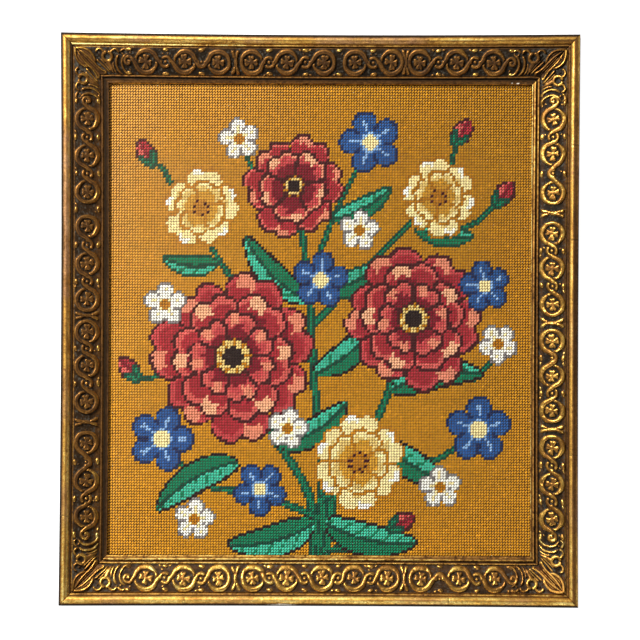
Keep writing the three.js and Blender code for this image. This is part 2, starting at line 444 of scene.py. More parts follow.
def corner(a, u, rng):
    """Height of the corner ornament at a, u."""
    k = PX
    h = np.zeros(np.shape(a))
    along = (a + u) / 2 / k
    off = np.abs(a - u) / math.sqrt(2) / k
    # the leaf's body, inside its rim, lies low and carries fine ripples; so does the hollow of its rib
    rim, rib = np.array(LEAF_RIM), np.array(RIB_EDGE[:-1])
    rim_off = np.interp(along, (rim[:, 0] + rim[:, 1]) / 2, (rim[:, 0] - rim[:, 1]) / math.sqrt(2), left=-1, right=-1)
    rib_off = np.interp(along, (rib[:, 0] + rib[:, 1]) / 2, (rib[:, 0] - rib[:, 1]) / math.sqrt(2), left=-1, right=-1)
    body = smooth(-0.2, 0.6, np.maximum(rim_off, rib_off) - off) * smooth(14.2, 16.0, along)
    ripple = 0.5 + 0.5 * np.cos((along * 0.8 - off * 1.5) * 1.45)
    in_rib = smooth(0.6, -0.2, off - rib_off)
    h = np.maximum(h, (0.50 + 0.20 * ripple * (1 - in_rib) + 0.18 * in_rib * smooth(24.0, 38.0, along)) * body)
    for half_wide, height, ends, points in CORNER_STROKES:
        pts = [(x * k, y * k) for x, y in points]
        lo = np.array(pts).min(0) - 3
        hi = np.array(pts).max(0) + 3
        near = (a > lo[0]) & (a < hi[0]) & (u > lo[1]) & (u < hi[1])
        if near.any():
            h[near] = stroke(h[near], a[near], u[near], pts, half_wide, height * rng.uniform(0.93, 1.05), ends)
    ring = to_arc(a, u, (LOOP[0] * k, LOOP[1] * k), LOOP[2] * k, 294, 246)
    h = np.maximum(h, strap_section(ring, 1.40, 2.0))
    for x, y, long, wide, turn, height in CORNER_DROPS:
        h = drop(h, a, u, (x * k, y * k), long * k, wide * k, turn, height)
    return h


def relief(s, u, rail, length, width, seed):
    """Height of all the ornament above the plain band of one rail, and where its pearls lie.
    u is measured on the standard width."""
    rng = np.random.default_rng(seed)
    h, pearls = np.zeros(np.shape(s)), np.zeros(np.shape(s))
    band = (u > BAND[0] - 0.3) & (u < BAND[1] + 0.3)
    ss, tt = s[band], u[band] - MID
    # pressed by hand: nothing runs quite true, and nothing is pressed quite alike
    bend = np.clip((np.minimum(ss, length - ss) - 8) / 20, 0, 1)
    ws = 0.55 * fractal(ss / 7.5, tt / 7.0, seed + 200, 2)
    wt = 0.50 * fractal(ss / 7.0, tt / 8.0, seed + 201, 2)
    press = 1 - 0.16 * (0.5 + 0.5 * fractal(ss / 6.0, tt / 6.0, seed + 202, 2)) - 0.35 * smooth(0.42, 0.9, fractal(ss / 4.0, tt / 3.5, seed + 203, 2))
    g, pearls[band] = guilloche(ss + ws * bend, tt + wt * bend, rail, rng)
    g = g * press
    hh = g
    for a in (ss, length - ss):
        near = a < 72 * PX
        hh[near] = np.maximum(hh[near], corner(a[near], u[band][near], rng))
    h[band] = hh * smooth(BAND[0] - 0.2, BAND[0] + 0.35, u[band]) * smooth(BAND[1] + 0.2, BAND[1] - 0.35, u[band])
    return h, pearls


# ------------------------------------------------------------------ the worked design
# A plain posy of garden flowers on an ochre ground, charted one cell to a stitch. Columns run from
# the left, rows from the bottom. Each motif is drawn by rule from a few sizes.

COLS, ROWS = 155, 171

WOOL = {
    # name: colour as displayed, 0 to 255
    "ochre": (188, 130, 26), "ochre_light": (202, 148, 44), "ochre_deep": (174, 112, 16),
    "tan": (180, 119, 26), "cream": (236, 218, 158), "cream_shade": (216, 186, 112),
    "red": (164, 44, 52), "red_mid": (190, 70, 72), "red_deep": (122, 26, 40),
    "rose": (204, 92, 84), "salmon": (222, 138, 108), "peach": (232, 172, 132),
    "maroon": (70, 26, 30), "ink": (38, 26, 26),
    "green": (18, 118, 82), "green_light": (62, 178, 146), "green_deep": (18, 72, 56), "moss": (112, 120, 52),
    "blue": (44, 86, 142), "blue_light": (132, 168, 208), "navy": (28, 44, 84),
    "white": (236, 234, 224), "grey": (128, 122, 120), "grey_light": (168, 160, 152),
}
WOOL_NAMES = list(WOOL)


class Chart:
    def __init__(self):
        self.x, self.y = np.meshgrid(np.arange(COLS) + 0.5, np.arange(ROWS) + 0.5)
        self.cell = np.full((ROWS, COLS), WOOL_NAMES.index("ochre"))

    def put(self, mask, name):
        self.cell[mask] = WOOL_NAMES.index(name)

    def polar(self, cx, cy):
        dx, dy = self.x - cx, self.y - cy
        return np.hypot(dx, dy), np.arctan2(dy, dx)


def along_path(c, points):
    d, k = to_curve(c.x, c.y, points)
    return d, k


def stem(c, points, half, light, dark):
    d, k = along_path(c, points)
    w = half * (1 - 0.35 * k)
    c.put(d < w, dark)
    c.put(d < w - 0.75, light)


def leaf(c, root, tip, wide, bow, face, shade, vein, edge):
    """A leaf from root to tip, bowed to one side, dark at its edge and lit on one half."""
    (x0, y0), (x1, y1) = root, tip
    long = math.hypot(x1 - x0, y1 - y0)
    ux, uy = (x1 - x0) / long, (y1 - y0) / long
    px, py = (c.x - x0) * ux + (c.y - y0) * uy, -(c.x - x0) * uy + (c.y - y0) * ux
    k = px / long
    mid = bow * 4 * k * (1 - k)
    half = wide * np.sqrt(np.clip(np.sin(np.pi * np.clip(k, 0, 1) ** 0.8), 0, 1))
    off = py - mid
    on = (k > 0) & (k < 1) & (np.abs(off) < half)
    c.put(on, edge)
    inner = on & (np.abs(off) < half - 0.95)
    c.put(inner & (off > 0), face)
    c.put(inner & (off <= 0), shade)
    veins = inner & (np.mod(px - np.abs(off) * 0.9, 5.2) < 1.0) & (np.abs(off) < half - 1.6)
    c.put(veins & (off > 0), shade)
    c.put(inner & (np.abs(off) < 0.6), vein)


def bloom(c, cx, cy, r, petals, turn, layers, heart, outline="maroon", notch=0.10, lean=0.0):
    """A many-petalled flower. layers: from the outside in, (reach as a share of r, dark, mid, light, lit)."""
    rho, ang = c.polar(cx, cy)
    for n, (share, dark, mid, light, lit) in enumerate(layers):
        count = petals if n % 2 == 0 else max(petals - 1, 4)
        a = ang - turn - n * math.pi / count * 1.15
        w = np.mod(a * count / (2 * math.pi) + 0.5, 1) - 0.5          # across one petal, -0.5 to 0.5
        which = np.floor(a * count / (2 * math.pi) + 0.5)
        wob = 0.05 * np.sin(which * 2.4 + n) + lean * np.cos(ang - 0.8)
        edge = r * share * (0.80 + wob + 0.24 * np.sqrt(np.clip(np.cos(w * math.pi), 0, 1)) - notch * np.exp(-((w / 0.10) ** 2)))
        on = rho < edge
        c.put(on, outline)
        body = on & (rho < edge - 1.15)
        split = np.abs(np.abs(w) - 0.5) * rho * 2 * math.pi / count < 0.62
        c.put(body, mid)
        depth = (edge - rho) / r
        c.put(body & (depth < 0.115), light)
        c.put(body & (depth < 0.19) & (depth > 0.03) & (w > 0.02) & (w < 0.30), lit)
        c.put(body & (rho < edge * 0.62), dark)
        c.put(body & (np.mod(which, 2) == 0) & (rho < edge * 0.74) & (np.abs(w) < 0.12), dark)
        c.put(body & split & (rho > r * share * 0.30), outline)
    if heart:
        core, ring, dots = heart
        c.put(rho < r * 0.235, outline)
        c.put(rho < r * 0.235 - 1.0, ring)
        c.put(rho < r * 0.12, core)
        c.put((rho < r * 0.22) & (rho > r * 0.14) & (np.mod(ang * 9 / (2 * math.pi), 1) < 0.35), dots)


def daisy(c, cx, cy, r, petals, turn, petal, shade, core, edge):
    rho, ang = c.polar(cx, cy)
    w = np.mod((ang - turn) * petals / (2 * math.pi) + 0.5, 1) - 0.5
    reach = r * (0.50 + 0.52 * np.sqrt(np.clip(np.cos(w * math.pi * 0.98), 0, 1)))
    c.put(rho < reach + 0.9, edge)
    c.put(rho < reach, petal)
    c.put((rho < reach) & (np.abs(np.abs(w) - 0.5) * rho * 2 * math.pi / petals < (0.6 if r > 8 else 0.42)) & (rho > r * 0.45), edge)
    c.put((rho < reach) & (np.abs(w) < 0.07) & (rho < r * 0.8), shade)
    c.put(rho < r * 0.34, shade)
    c.put(rho < r * 0.27, core)


def make_chart():
    c = Chart()
    # stems
    for pts, half in (
        ([(76, -2), (74, 22), (60, 44), (46, 62)], 1.9),
        ([(80, -2), (84, 26), (98, 48), (108, 74)], 1.9),
        ([(78, -2), (79, 30), (76, 60), (74, 92), (70, 126)], 1.8),
        ([(78, 20), (96, 30), (118, 34), (134, 44)], 1.5),
        ([(77, 14), (56, 22), (34, 26), (22, 40)], 1.5),
        ([(76, 70), (56, 88), (40, 108), (34, 122)], 1.4),
        ([(76, 84), (94, 104), (108, 118), (118, 126)], 1.4),
        ([(74, 100), (84, 126), (94, 146)], 1.2),
        ([(79, 2), (90, 3), (98, 6), (105, 11)], 1.3),
        ([(34, 66), (24, 68), (16, 64), (10, 65)], 1.3),
        ([(22, 70), (21, 80), (21, 90)], 1.2),
        ([(118, 126), (124, 138), (128, 151)], 1.3),
        ([(34, 124), (25, 132), (20, 140), (15, 143)], 1.3),
        ([(128, 118), (136, 122), (143, 129)], 1.3),
        ([(56, 134), (52, 142), (48, 150)], 1.2),
        ([(134, 64), (140, 70), (143, 77)], 1.2),
    ):
        stem(c, pts, half, "green", "green_deep")

    # leaves
    G, D, L = "green", "green_deep", "green_light"
    for root, tip, wide, bow in (
        ((76, 12), (44, 4), 6.5, 3), ((80, 12), (114, 5), 6.5, -3),
        ((62, 40), (88, 56), 5.5, -3), ((92, 40), (126, 22), 6.0, 3),
        ((48, 34), (18, 16), 6.0, -3), ((104, 60), (138, 66), 6.0, 3.5),
        ((56, 52), (24, 72), 6.5, 3.5), ((76, 66), (100, 88), 5.5, -3),
        ((74, 92), (50, 116), 5.5, 3.0), ((76, 96), (102, 108), 5.0, -3),
        ((40, 106), (20, 108), 4.2, 2), ((72, 118), (56, 136), 4.6, 2.4),
        ((82, 122), (104, 134), 4.2, -2), ((112, 120), (134, 116), 4.4, -2),
    ):
        leaf(c, root, tip, wide, bow, L, G, D, "ink" if wide > 5.4 else D)

    # large red blooms
    big = [
        (1.00, "red_deep", "red", "red_mid", "salmon"),
        (0.78, "red_deep", "red", "rose", "peach"),
        (0.54, "red_deep", "red_mid", "rose", "salmon"),
    ]
    bloom(c, 46, 72, 30, 7, 0.35, big, ("ink", "cream_shade", "ochre_deep"))
    bloom(c, 112, 86, 25.5, 6, 0.9, big, ("ink", "cream_shade", "ochre_deep"))
    mid = [
        (1.00, "red_deep", "red", "rose", "salmon"),
        (0.72, "red_deep", "red_mid", "salmon", "peach"),
    ]
    bloom(c, 68, 134, 18.5, 6, 0.1, mid, ("ink", "cream_shade", "ochre_deep"))
    # cream roses
    pale = [
        (1.00, "cream_shade", "cream", "cream", "white"),
        (0.68, "ochre_light", "cream_shade", "cream", "cream"),
    ]
    bloom(c, 92, 34, 17.5, 6, 0.5, pale, ("tan", "ochre_deep", "maroon"), outline="tan")
    bloom(c, 34, 126, 14.5, 5, 0.2, pale, ("tan", "ochre_deep", "maroon"), outline="tan")
    bloom(c, 121, 130, 14.5, 6, 0.7, pale, ("tan", "ochre_deep", "maroon"), outline="tan")
    # blue flowers
    for cx, cy, r, turn in ((136, 46, 11, 0.3), (20, 42, 11, 0.0), (96, 150, 10.5, 0.6), (78, 100, 9.5, 0.2), (56, 24, 9.0, 0.9), (138, 98, 8.5, 0.5)):
        daisy(c, cx, cy, r, 5, turn, "blue", "blue_light", "cream", "navy")
    # small white flowers and buds
    for cx, cy, r, turn in ((66, 46, 6.8, 0.1), (122, 25, 7.0, 0.4), (21, 91, 7.0, 0.3), (92, 118, 6.6, 0.2), (48, 151, 6.8, 0.5), (143, 77, 6.6, 0.9), (32, 13, 6.8, 0.2)):
        daisy(c, cx, cy, r, 5, turn, "white", "cream", "ochre_deep", "grey")
    for cx, cy, a in ((104, 10, 0.5), (11, 64, 2.3), (127, 150, 1.0), (16, 142, 2.1), (142, 128, 0.9)):
        ca, sa = math.cos(a), math.sin(a)
        leaf(c, (cx, cy), (cx + 10 * ca, cy + 10 * sa), 3.8, 0.0, "rose", "red", "red_deep", "maroon")
        for side in (-1, 1):
            leaf(c, (cx - 1.5 * ca, cy - 1.5 * sa), (cx + 5.5 * math.cos(a + side * 0.55), cy + 5.5 * math.sin(a + side * 0.55)), 1.5, 0.0, "green_light", "green", "green", "green_deep")
    return c.cell


# ------------------------------------------------------------------ sizes, from the CAD model

# name: (quarter turns from the bottom rail, its row of rings, seed)
RAILS = {
    "rail_bottom": (0, "bottom", 11),
    "rail_right": (1, "right", 12),
    "rail_top": (2, "top", 13),
    "rail_left": (3, "left", 14),
}
FRAME_W = (CAD_BOX[1][0] - CAD_BOX[0][0]) / MM
FRAME_H = (CAD_BOX[1][1] - CAD_BOX[0][1]) / MM


def size_of(node):
    lo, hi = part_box(node)
    return [(hi[i] - lo[i]) / MM for i in range(3)]


END_WIDTH = size_of("rail_bottom")[1]
SIDE_WIDTH = size_of("rail_left")[0]
CANVAS_W, CANVAS_H, _ = size_of("needlepoint")
OPEN_W, OPEN_H = FRAME_W - 2 * SIDE_WIDTH, FRAME_H - 2 * END_WIDTH
RABBET = 8.0
LEDGE_Z = 11.8
# how far each rail has drawn in by its middle
BOW = {"top": 1.35, "bottom": 0.65, "left": 1.10, "right": 0.80}


# ------------------------------------------------------------------ rails

def rail_rows():
    """Where the rows of the carved face lie across a rail of the standard width."""
    bead = [BEAD_R * (1 - math.cos(math.pi * k / 14)) for k in range(15)]
    rows = [*bead[:-1], 7.60, 7.85, 8.35, 8.90, 9.20, 9.42, 9.62, 9.88, 10.18]
    rows += list(np.linspace(10.50, 31.00, 46))
    rows += [31.25, 31.50, 31.75, 32.00, 32.30, 32.58, 32.85, 33.15, 33.70, 34.05, 34.30, 34.55, 34.80]
    rows += [35.05, 35.35, 35.80, 36.35, 36.85, 37.15, 37.45, 37.75, 38.0]
    return np.array(rows)


# Tone of the plain moulding across its width, on each rail: 0 dark wax and bare bole, 1 bright gold.
# It also holds painted light and shade: the upper and left rails are painted darker as if turned from the lamp,
# highlights are painted where the bead and fillets catch it, and the right rail's bead is dark on its outer side.
FINISH_AND_PAINTED_LIGHT = np.array([
    # u     top   left  right bottom
    (0.0, 0.00, 0.00, 0.00, 0.00),
    (1.0, 0.00, 0.00, 0.30, 0.00),
    (1.7, 0.04, 0.08, 0.22, 0.22),
    (2.4, 0.34, 0.48, 0.18, 0.86),
    (3.4, 1.00, 0.70, 0.04, 1.00),
    (4.0, 1.00, 0.60, 0.18, 1.00),
    (4.6, 0.36, 0.30, 0.28, 0.52),
    (5.6, 0.84, 0.56, 0.94, 0.78),
    (6.6, 1.00, 1.00, 1.00, 1.00),
    (7.2, 1.00, 1.00, 0.34, 0.90),
    (7.6, 0.30, 0.90, 0.12, 0.18),
    (8.0, 1.00, 0.02, 0.28, 0.18),
    (8.6, 0.52, 0.00, 0.30, 0.34),
    (9.0, 0.32, 0.14, 0.16, 0.56),
    (9.4, 0.10, 0.44, 0.12, 0.46),
    (9.9, 0.08, 0.40, 0.30, 0.28),
    (10.4, 0.38, 1.00, 1.00, 0.26),
    (31.2, 0.04, 0.04, 0.04, 0.04),
    (31.5, 0.56, 0.20, 0.06, 0.26),
    (31.9, 0.36, 0.16, 0.18, 1.00),
    (32.3, 0.24, 0.24, 0.34, 0.74),
    (32.8, 0.00, 0.28, 0.48, 0.26),
    (33.2, 0.00, 0.32, 0.14, 0.00),
    (33.9, 0.02, 0.02, 0.04, 0.42),
    (34.6, 0.06, 0.00, 0.14, 1.00),
    (35.1, 0.14, 0.02, 0.62, 1.00),
    (35.8, 0.16, 0.12, 0.32, 0.18),
    (36.6, 0.22, 0.00, 0.12, 0.50),
    (37.4, 0.18, 0.26, 1.00, 0.70),
    (38.0, 1.00, 0.16, 0.32, 0.00),
])
FINISH_RAILS = ("top", "left", "right", "bottom")
# how much brighter or duller the ornament is across the band: partly rubbing, partly painted light and shade
BAND_TONE_AND_PAINTED_LIGHT = np.array([
    # u     top   left  right bottom
    (10.5, 1.55, 1.83, 2.40, 1.33),
    (11.5, 1.42, 1.06, 2.40, 1.26),
    (13.0, 1.06, 0.73, 1.46, 1.37),
    (16.0, 1.01, 0.80, 0.94, 1.07),
    (20.5, 0.91, 1.16, 1.21, 1.05),
    (25.0, 0.99, 0.97, 0.79, 0.91),
    (28.0, 1.27, 1.90, 1.59, 1.63),
    (29.5, 1.08, 2.16, 2.05, 1.45),
    (31.0, 1.87, 2.40, 1.10, 0.88),
])
# how far the mouldings inside the band sit from their place on the drawing, towards the sight edge
SHIFT = {"top": -0.35, "bottom": -0.27, "left": 0.28, "right": 0.12}
LIP_LOW = {"top": 0.75, "left": 0.0, "right": 0.0, "bottom": 0.0}
LIP_STRAIGHT = {"top": 1.20, "left": 0.0, "right": 0.0, "bottom": 0.0}

# colour of the finish from dark wax through bole and dulled leaf to bright leaf
RAMP = np.array([
    # tone  red     green   blue
    (0.00, 0.0105, 0.0064, 0.0028),
    (0.14, 0.0640, 0.0275, 0.0082),
    (0.42, 0.3300, 0.1500, 0.0340),
    (0.75, 0.6900, 0.3950, 0.0780),
    (0.92, 0.8200, 0.5900, 0.1650),
    (1.00, 0.9000, 0.6800, 0.2150),
    (1.25, 0.9800, 0.8000, 0.3000),
])
UMBER = RAMP[0, 1:]
RUB_COLOUR = np.array((0.400, 0.230, 0.145))
MARK_WHITE = np.array((0.720, 0.660, 0.560))
WAX = np.array((0.0600, 0.0560, 0.0450))
PAINT = np.array((0.32, 0.03, -0.10))

# tone of the ornament on each rail: its faces, painted darker on the top and left rails as shade away from the lamp,
# and how much brighter its edges are, partly rubbed gilding and partly painted highlight
CARVED_TONE_AND_PAINTED_LIGHT = {"top": (0.10, 0.29), "left": (0.13, 0.32), "right": (0.40, 0.35), "bottom": (0.44, 0.33)}
# the pearls are brightened, partly as rubbed gilding and partly as painted highlight on their domes, most on the
# darkened top and left rails
PEARL_RUB_AND_HIGHLIGHT = {"top": 1.9, "left": 1.4, "right": 0.85, "bottom": 0.85}        # how bright the pearls are against the rest
DUST = {"top": 0.0, "left": 0.03, "right": 0.0, "bottom": 0.05}
# how much brighter or darker each rail is along its length, at every fifth of its length from its left corner
ALONG = {
    # rail: (bead, outer half), (bead, inner half), (fillet inside it), (ornament), (mouldings inside the ornament)
    "top": ((0.88, 1.12, 0.78, 1.00, 1.12, 1.08), (0.62, 0.92, 0.88, 0.88, 1.05, 0.65), (0.76, 0.55, 0.90, 0.96, 1.90, 3.00), (0.94, 1.20, 0.97, 1.05, 1.03, 1.08), (0.66, 0.92, 0.92, 1.00, 1.05, 1.16)),
    "left": ((1.46, 0.86, 0.87, 1.04, 1.28, 1.70), (1.60, 1.30, 1.00, 0.97, 1.24, 1.62), (0.42, 0.30, 0.55, 0.78, 0.66, 1.30), (1.02, 0.98, 1.00, 1.06, 1.20, 1.16), (0.80, 0.95, 0.88, 1.00, 1.00, 1.00)),
    "right": ((3.40, 2.10, 0.92, 0.98, 2.20, 3.60), (1.02, 0.90, 0.88, 0.95, 1.08, 0.84), (1.65, 0.75, 0.92, 0.62, 1.12, 1.20), (1.03, 1.03, 1.00, 1.00, 1.03, 0.74), (0.90, 1.00, 0.80, 0.95, 1.38, 1.17)),
    "bottom": ((0.97, 0.93, 0.96, 1.00, 1.10, 0.97), (0.90, 0.90, 1.06, 0.98, 0.97, 0.88), (1.18, 1.14, 0.97, 0.97, 1.36, 1.48), (0.92, 1.12, 1.09, 0.92, 0.98, 0.92), (0.88, 1.12, 1.12, 1.00, 0.74, 0.58)),
}
# how far the finish is rubbed away in spots and in streaks along the rail, outside the ornament
WORN = {"top": (0.95, 0.45), "left": (0.90, 0.42), "right": (0.80, 0.40), "bottom": (0.75, 0.26)}
# how bright the ornament is at each end of a rail, against its middle: the arcs, and the corner leaf, painted brighter
# or duller as highlight and shade
ARCS_PAINTED_LIGHT = {"bottom": (0.85, 0.58), "right": (1.0, 1.0), "top": (1.0, 0.9), "left": (1.0, 1.25)}
ENDS_PAINTED_LIGHT = {"bottom": (0.54, 1.9), "right": (1.9, 0.80), "top": (0.88, 0.98), "left": (0.98, 0.62)}
# how much the low body of the corner leaf is brightened at the rail's left end and at its right end
LEAF = {"bottom": (0.12, 0.02), "right": (0.02, 0.02), "top": (0.02, 0.09), "left": (0.09, 0.14)}

# rubbed or dulled lengths of the bead: rail, from, to (mm from the rail's left corner), how far gone
RUBBED = {
    "top": [(120, 205, 0.55), (232, 262, 0.30), (330, 350, 0.35)],
    "left": [(75, 205, 0.60), (262, 300, 0.30), (350, 380, 0.35)],
    "right": [(60, 90, 0.30), (190, 230, 0.30), (330, 352, 0.35)],
    "bottom": [(30, 48, 0.30), (118, 150, 0.25), (262, 300, 0.28), (345, 365, 0.30)],
}
# white marks, each in a shallow dent: rail, along, across, length, width
WHITE_MARKS = {
    "bottom": [(172.0, 1.0, 11.0, 0.55)],
    "top": [(48.0, 37.0, 1.1, 0.45), (52.5, 36.8, 0.6, 0.45)],
    "left": [],
    "right": [],
}
# hairline cracks across the bead, along the rail
CRACKS = {"bottom": [97.4, 301.0], "top": [], "left": [373.0], "right": [118.0, 284.0, 357.0]}


def blurred(z, rows, cols):
    """z averaged over a few rows and columns."""
    def along(a, width, axis):
        half = int(math.ceil(2 * width))
        k = np.exp(-0.5 * (np.arange(-half, half + 1) / width) ** 2)
        k /= k.sum()
        pad = [(0, 0), (0, 0)]
        pad[axis] = (half, half)
        p = np.pad(a, pad, mode="edge")
        n = a.shape[axis]
        return sum(w * np.take(p, np.arange(i, i + n), axis) for i, w in enumerate(k))
    return along(along(z, rows, 0), cols, 1)


def gilt(s, u, rel, pearls, rail, seed, gap):
    """Base colour, metal and roughness of the carved face at s, u, where the ornament stands rel high
    with pearls here and there, and the mitre is gap away."""
    shape = np.shape(s)
    n1 = fractal(s / 9.0, u / 5.0, seed + 40, 3)           # broad clouding
    n2 = fractal(s / 2.6, u / 1.5, seed + 50, 3)           # mottling
    n3 = fractal(s / 1.1, u / 0.8, seed + 60, 2)           # speckle
    n4 = fractal(s / 16.0, u / 0.75, seed + 70, 2)         # wear that runs along the rail
    n5 = fractal(s / 15.0, u / 2.6, seed + 75, 3)          # dulled and brighter lengths
    column = 1 + FINISH_RAILS.index(rail)
    tone = np.interp(u, FINISH_AND_PAINTED_LIGHT[:, 0], FINISH_AND_PAINTED_LIGHT[:, column])
    band = (u > 10.45) & (u < 31.2)
    # the edges and crests of the ornament are brightened, partly as rubbed gilding and partly as painted highlight; its
    # faces are glazed, its hollows waxed
    # in the corners only the rims of the leaves are bright
    corner_part = smooth(46, 38, np.minimum(s, s.max() - s))
    raised = smooth(0.24 + 0.75 * corner_part, 0.88 + 0.72 * corner_part, rel + 0.20 * n2) * (0.80 + 0.20 * smooth(1.35, 1.65, rel))
    rim = np.clip((rel - blurred(rel, 1.5, 1.5)) / 0.30 + 0.20 * n1, 0, 1)
    speck = 0.34 * smooth(0.50, 0.85, n3) + 0.03 * np.clip(n2, 0, 1) + DUST[rail] * (1 + n2)
    face, edge_rub_and_highlight = CARVED_TONE_AND_PAINTED_LIGHT[rail]
    first, last = ENDS_PAINTED_LIGHT[rail]
    near_end = (1 + (first - 1) * smooth(42, 28, s)) * (1 + (last - 1) * smooth(42, 28, s.max() - s))
    near_end = near_end * (1 + (ARCS_PAINTED_LIGHT[rail][0] - 1) * smooth(30, 40, s) * smooth(66, 58, s))
    near_end = near_end * (1 + (ARCS_PAINTED_LIGHT[rail][1] - 1) * smooth(30, 40, s.max() - s) * smooth(66, 58, s.max() - s))
    across = np.interp(u, BAND_TONE_AND_PAINTED_LIGHT[:, 0], BAND_TONE_AND_PAINTED_LIGHT[:, column])
    where_fine = np.maximum(smooth(31.3, 31.8, u), smooth(7.4, 7.8, u))
    ornament = raised * (face * (1 + 0.30 * n1 + 0.35 * n3) + edge_rub_and_highlight * rim * (1 + 0.45 * n2)) * near_end * (1 + (PEARL_RUB_AND_HIGHLIGHT[rail] - 1) * smooth(0.0, 0.5, pearls))
    ground = 0.12 * np.clip(across - 1.25, 0, 1) * (1 + 0.5 * n2 + 0.4 * n3)
    ground = ground + corner_part * smooth(0.30, 0.62, rel) * np.where(s < s.max() / 2, *LEAF[rail]) * (1 + 0.35 * n2 + 0.3 * n3)
    tone = np.where(band, np.maximum(speck, ornament) * np.minimum(across, 1.25) + ground, tone * (1 + 0.36 * n5 + where_fine * (0.75 * n2 + 0.70 * n3) + 0.30 * n2 * smooth(7.5, 7.0, u)))
    # some lengths are brighter or darker than others
    zone = np.where(u < 7.5, 0, np.where(band, 2, np.where(u < 20, 1, 3)))
    outer, *others = [np.interp(s / s.max(), np.linspace(0, 1, 6), row) for row in ALONG[rail]]
    others[0] = outer + (others[0] - outer) * smooth(2.8, 4.6, u)
    tone = tone * np.choose(zone, others)
    rub = np.zeros(shape)
    for a, b, deep in RUBBED[rail]:
        edge = 6.0
        rub = np.maximum(rub, deep * smooth(a - edge, a + edge, s) * smooth(b + edge, b - edge, s))
    on_bead = smooth(7.5, 6.9, u)
    rub = np.clip(rub * (0.75 + 0.6 * n1 + 0.45 * n2), 0, 1) * on_bead
    wear = 0.40 * smooth(0.15, 0.70, n2 + 0.5 * n3) + 0.42 * smooth(0.30, 0.75, n3)
    drag = smooth(0.05, 0.75, n4 + 0.3 * n2) * np.where(band, 0.15, WORN[rail][1])
    tone = tone * (1 - 0.25 * rub) * (1 - wear * np.where(band, 0.45, WORN[rail][0])) * (1 - drag)
    tone = np.clip(tone * (1 + 0.16 * n1 + np.where(band, 0, 0.22) * n4), 0, 1.25) * (1 - 0.62 * np.exp(-((gap / 0.26) ** 2)))
    paint = np.where(band, corner_part * np.clip(near_end - 1.2, 0, 1), 0)
    tone = np.where(band & (corner_part > 0.5), np.minimum(tone, 0.74 + 0.15 * paint), tone)
    colour = np.stack([np.interp(tone, RAMP[:, 0], RAMP[:, i]) for i in (1, 2, 3)], -1)
    colour = colour * (1 + paint[..., None] * PAINT)
    wax = (np.where(band, smooth(0.42, 0.16, rel), 0) * 0.80 * smooth(0.20 - 0.30 * corner_part, 0.55 - 0.22 * corner_part, 0.4 * n2 - n3))[..., None]
    colour = colour * (1 - wax) + WAX * wax
    mix = (rub * smooth(0.15, 0.5, tone))[..., None]
    colour = colour * (1 - mix) + RUB_COLOUR * mix
    # the corner leaves are touched up with gold paint, which shines less than leaf
    metal = smooth(0.04, 0.40, tone) * (0.92 - 0.35 * rub - 0.60 * paint)
    rough = 0.60 - np.where(band, 0.24, 0.11) * smooth(0.1, np.where(band, 0.5, 0.8), tone) + 0.05 * n2 + 0.04 * n1 - 0.04 * rub
    for a, across, long, wide in WHITE_MARKS[rail]:
        d = np.hypot((s - a) / long, (u - across) / wide) + 0.28 * n3
        k = smooth(1.1, 0.75, d)[..., None]
        colour = colour * (1 - k) + MARK_WHITE * k
        metal = metal * (1 - k[..., 0])
        rough = rough * (1 - k[..., 0]) + 0.8 * k[..., 0]
    for a in CRACKS[rail]:
        line = a + 0.5 * value_noise(u * 0.7, u * 0, seed) + 0.2 * value_noise(u * 2.1, u * 0, seed + 3)
        k = (np.exp(-(((s - line) / 0.30) ** 2)) * on_bead)[..., None]
        colour = colour * (1 - 0.85 * k) + UMBER * 0.85 * k
        metal = metal * (1 - 0.8 * k[..., 0])
    return colour, np.clip(metal, 0, 1), np.clip(rough, 0.22, 0.9)


def face_height(s, u, rel, rail, seed, gap):
    """Height of the carved face, with the unevenness of old gesso, eased down at the mitres."""
    z = plain_height(u) + rel - 0.40 * np.exp(-((gap / 0.26) ** 2))
    on_bead = smooth(0.0, 0.6, u) * smooth(7.6, 7.0, u)
    z = z + 0.15 * on_bead * fractal(s / 11.0, u / 6.0, seed + 80, 2) + 0.050 * on_bead * fractal(s / 1.9, u / 1.6, seed + 81, 2)
    band = smooth(10.4, 10.9, u) * smooth(31.0, 30.5, u)
    z = z + band * (0.15 * fractal(s / 2.4, u / 2.2, seed + 82, 3) + 0.09 * fractal(s / 1.1, u / 1.1, seed + 83, 2))
    inner = smooth(31.9, 32.4, u) * smooth(38.0, 37.6, u)
    z = z + inner * (0.09 * fractal(s / 5.0, u / 2.0, seed + 84, 2) + 0.04 * fractal(s / 1.4, u / 1.1, seed + 85, 2))
    outer = smooth(7.6, 7.8, u) * smooth(10.4, 10.0, u)
    z = z + outer * (0.08 * fractal(s / 4.0, u / 1.6, seed + 86, 2) + 0.04 * fractal(s / 1.2, u / 1.0, seed + 87, 2))
    # nicks along the crowns of the bead and the lip
    rng = np.random.default_rng(seed + 90)
    long = s.max()
    for _ in range(46):
        a, deep, size = rng.uniform(8, long - 8), rng.uniform(0.08, 0.24), rng.uniform(0.5, 1.5)
        across = rng.choice([rng.uniform(0.5, 2.0), rng.uniform(3.0, 6.8), rng.uniform(36.0, 37.6)], p=[0.45, 0.35, 0.2])
        near = np.abs(s - a) < 5
        d = ((s[near] - a) / (size * 1.5)) ** 2 + ((u[near] - across) / (size * 0.7)) ** 2
        z[near] -= deep * np.exp(-d)
    for a, across, long_, wide in WHITE_MARKS[rail]:
        z = z - 0.30 * smooth(1.15, 0.7, np.hypot((s - a) / long_, (u - across) / wide))
    for a in CRACKS[rail]:
        line = a + 0.5 * value_noise(u * 0.7, u * 0, seed) + 0.2 * value_noise(u * 2.1, u * 0, seed + 3)
        z = z - 0.35 * np.exp(-(((s - line) / 0.38) ** 2)) * on_bead
    return np.minimum(z, CAD_BOX[1][2] / MM)


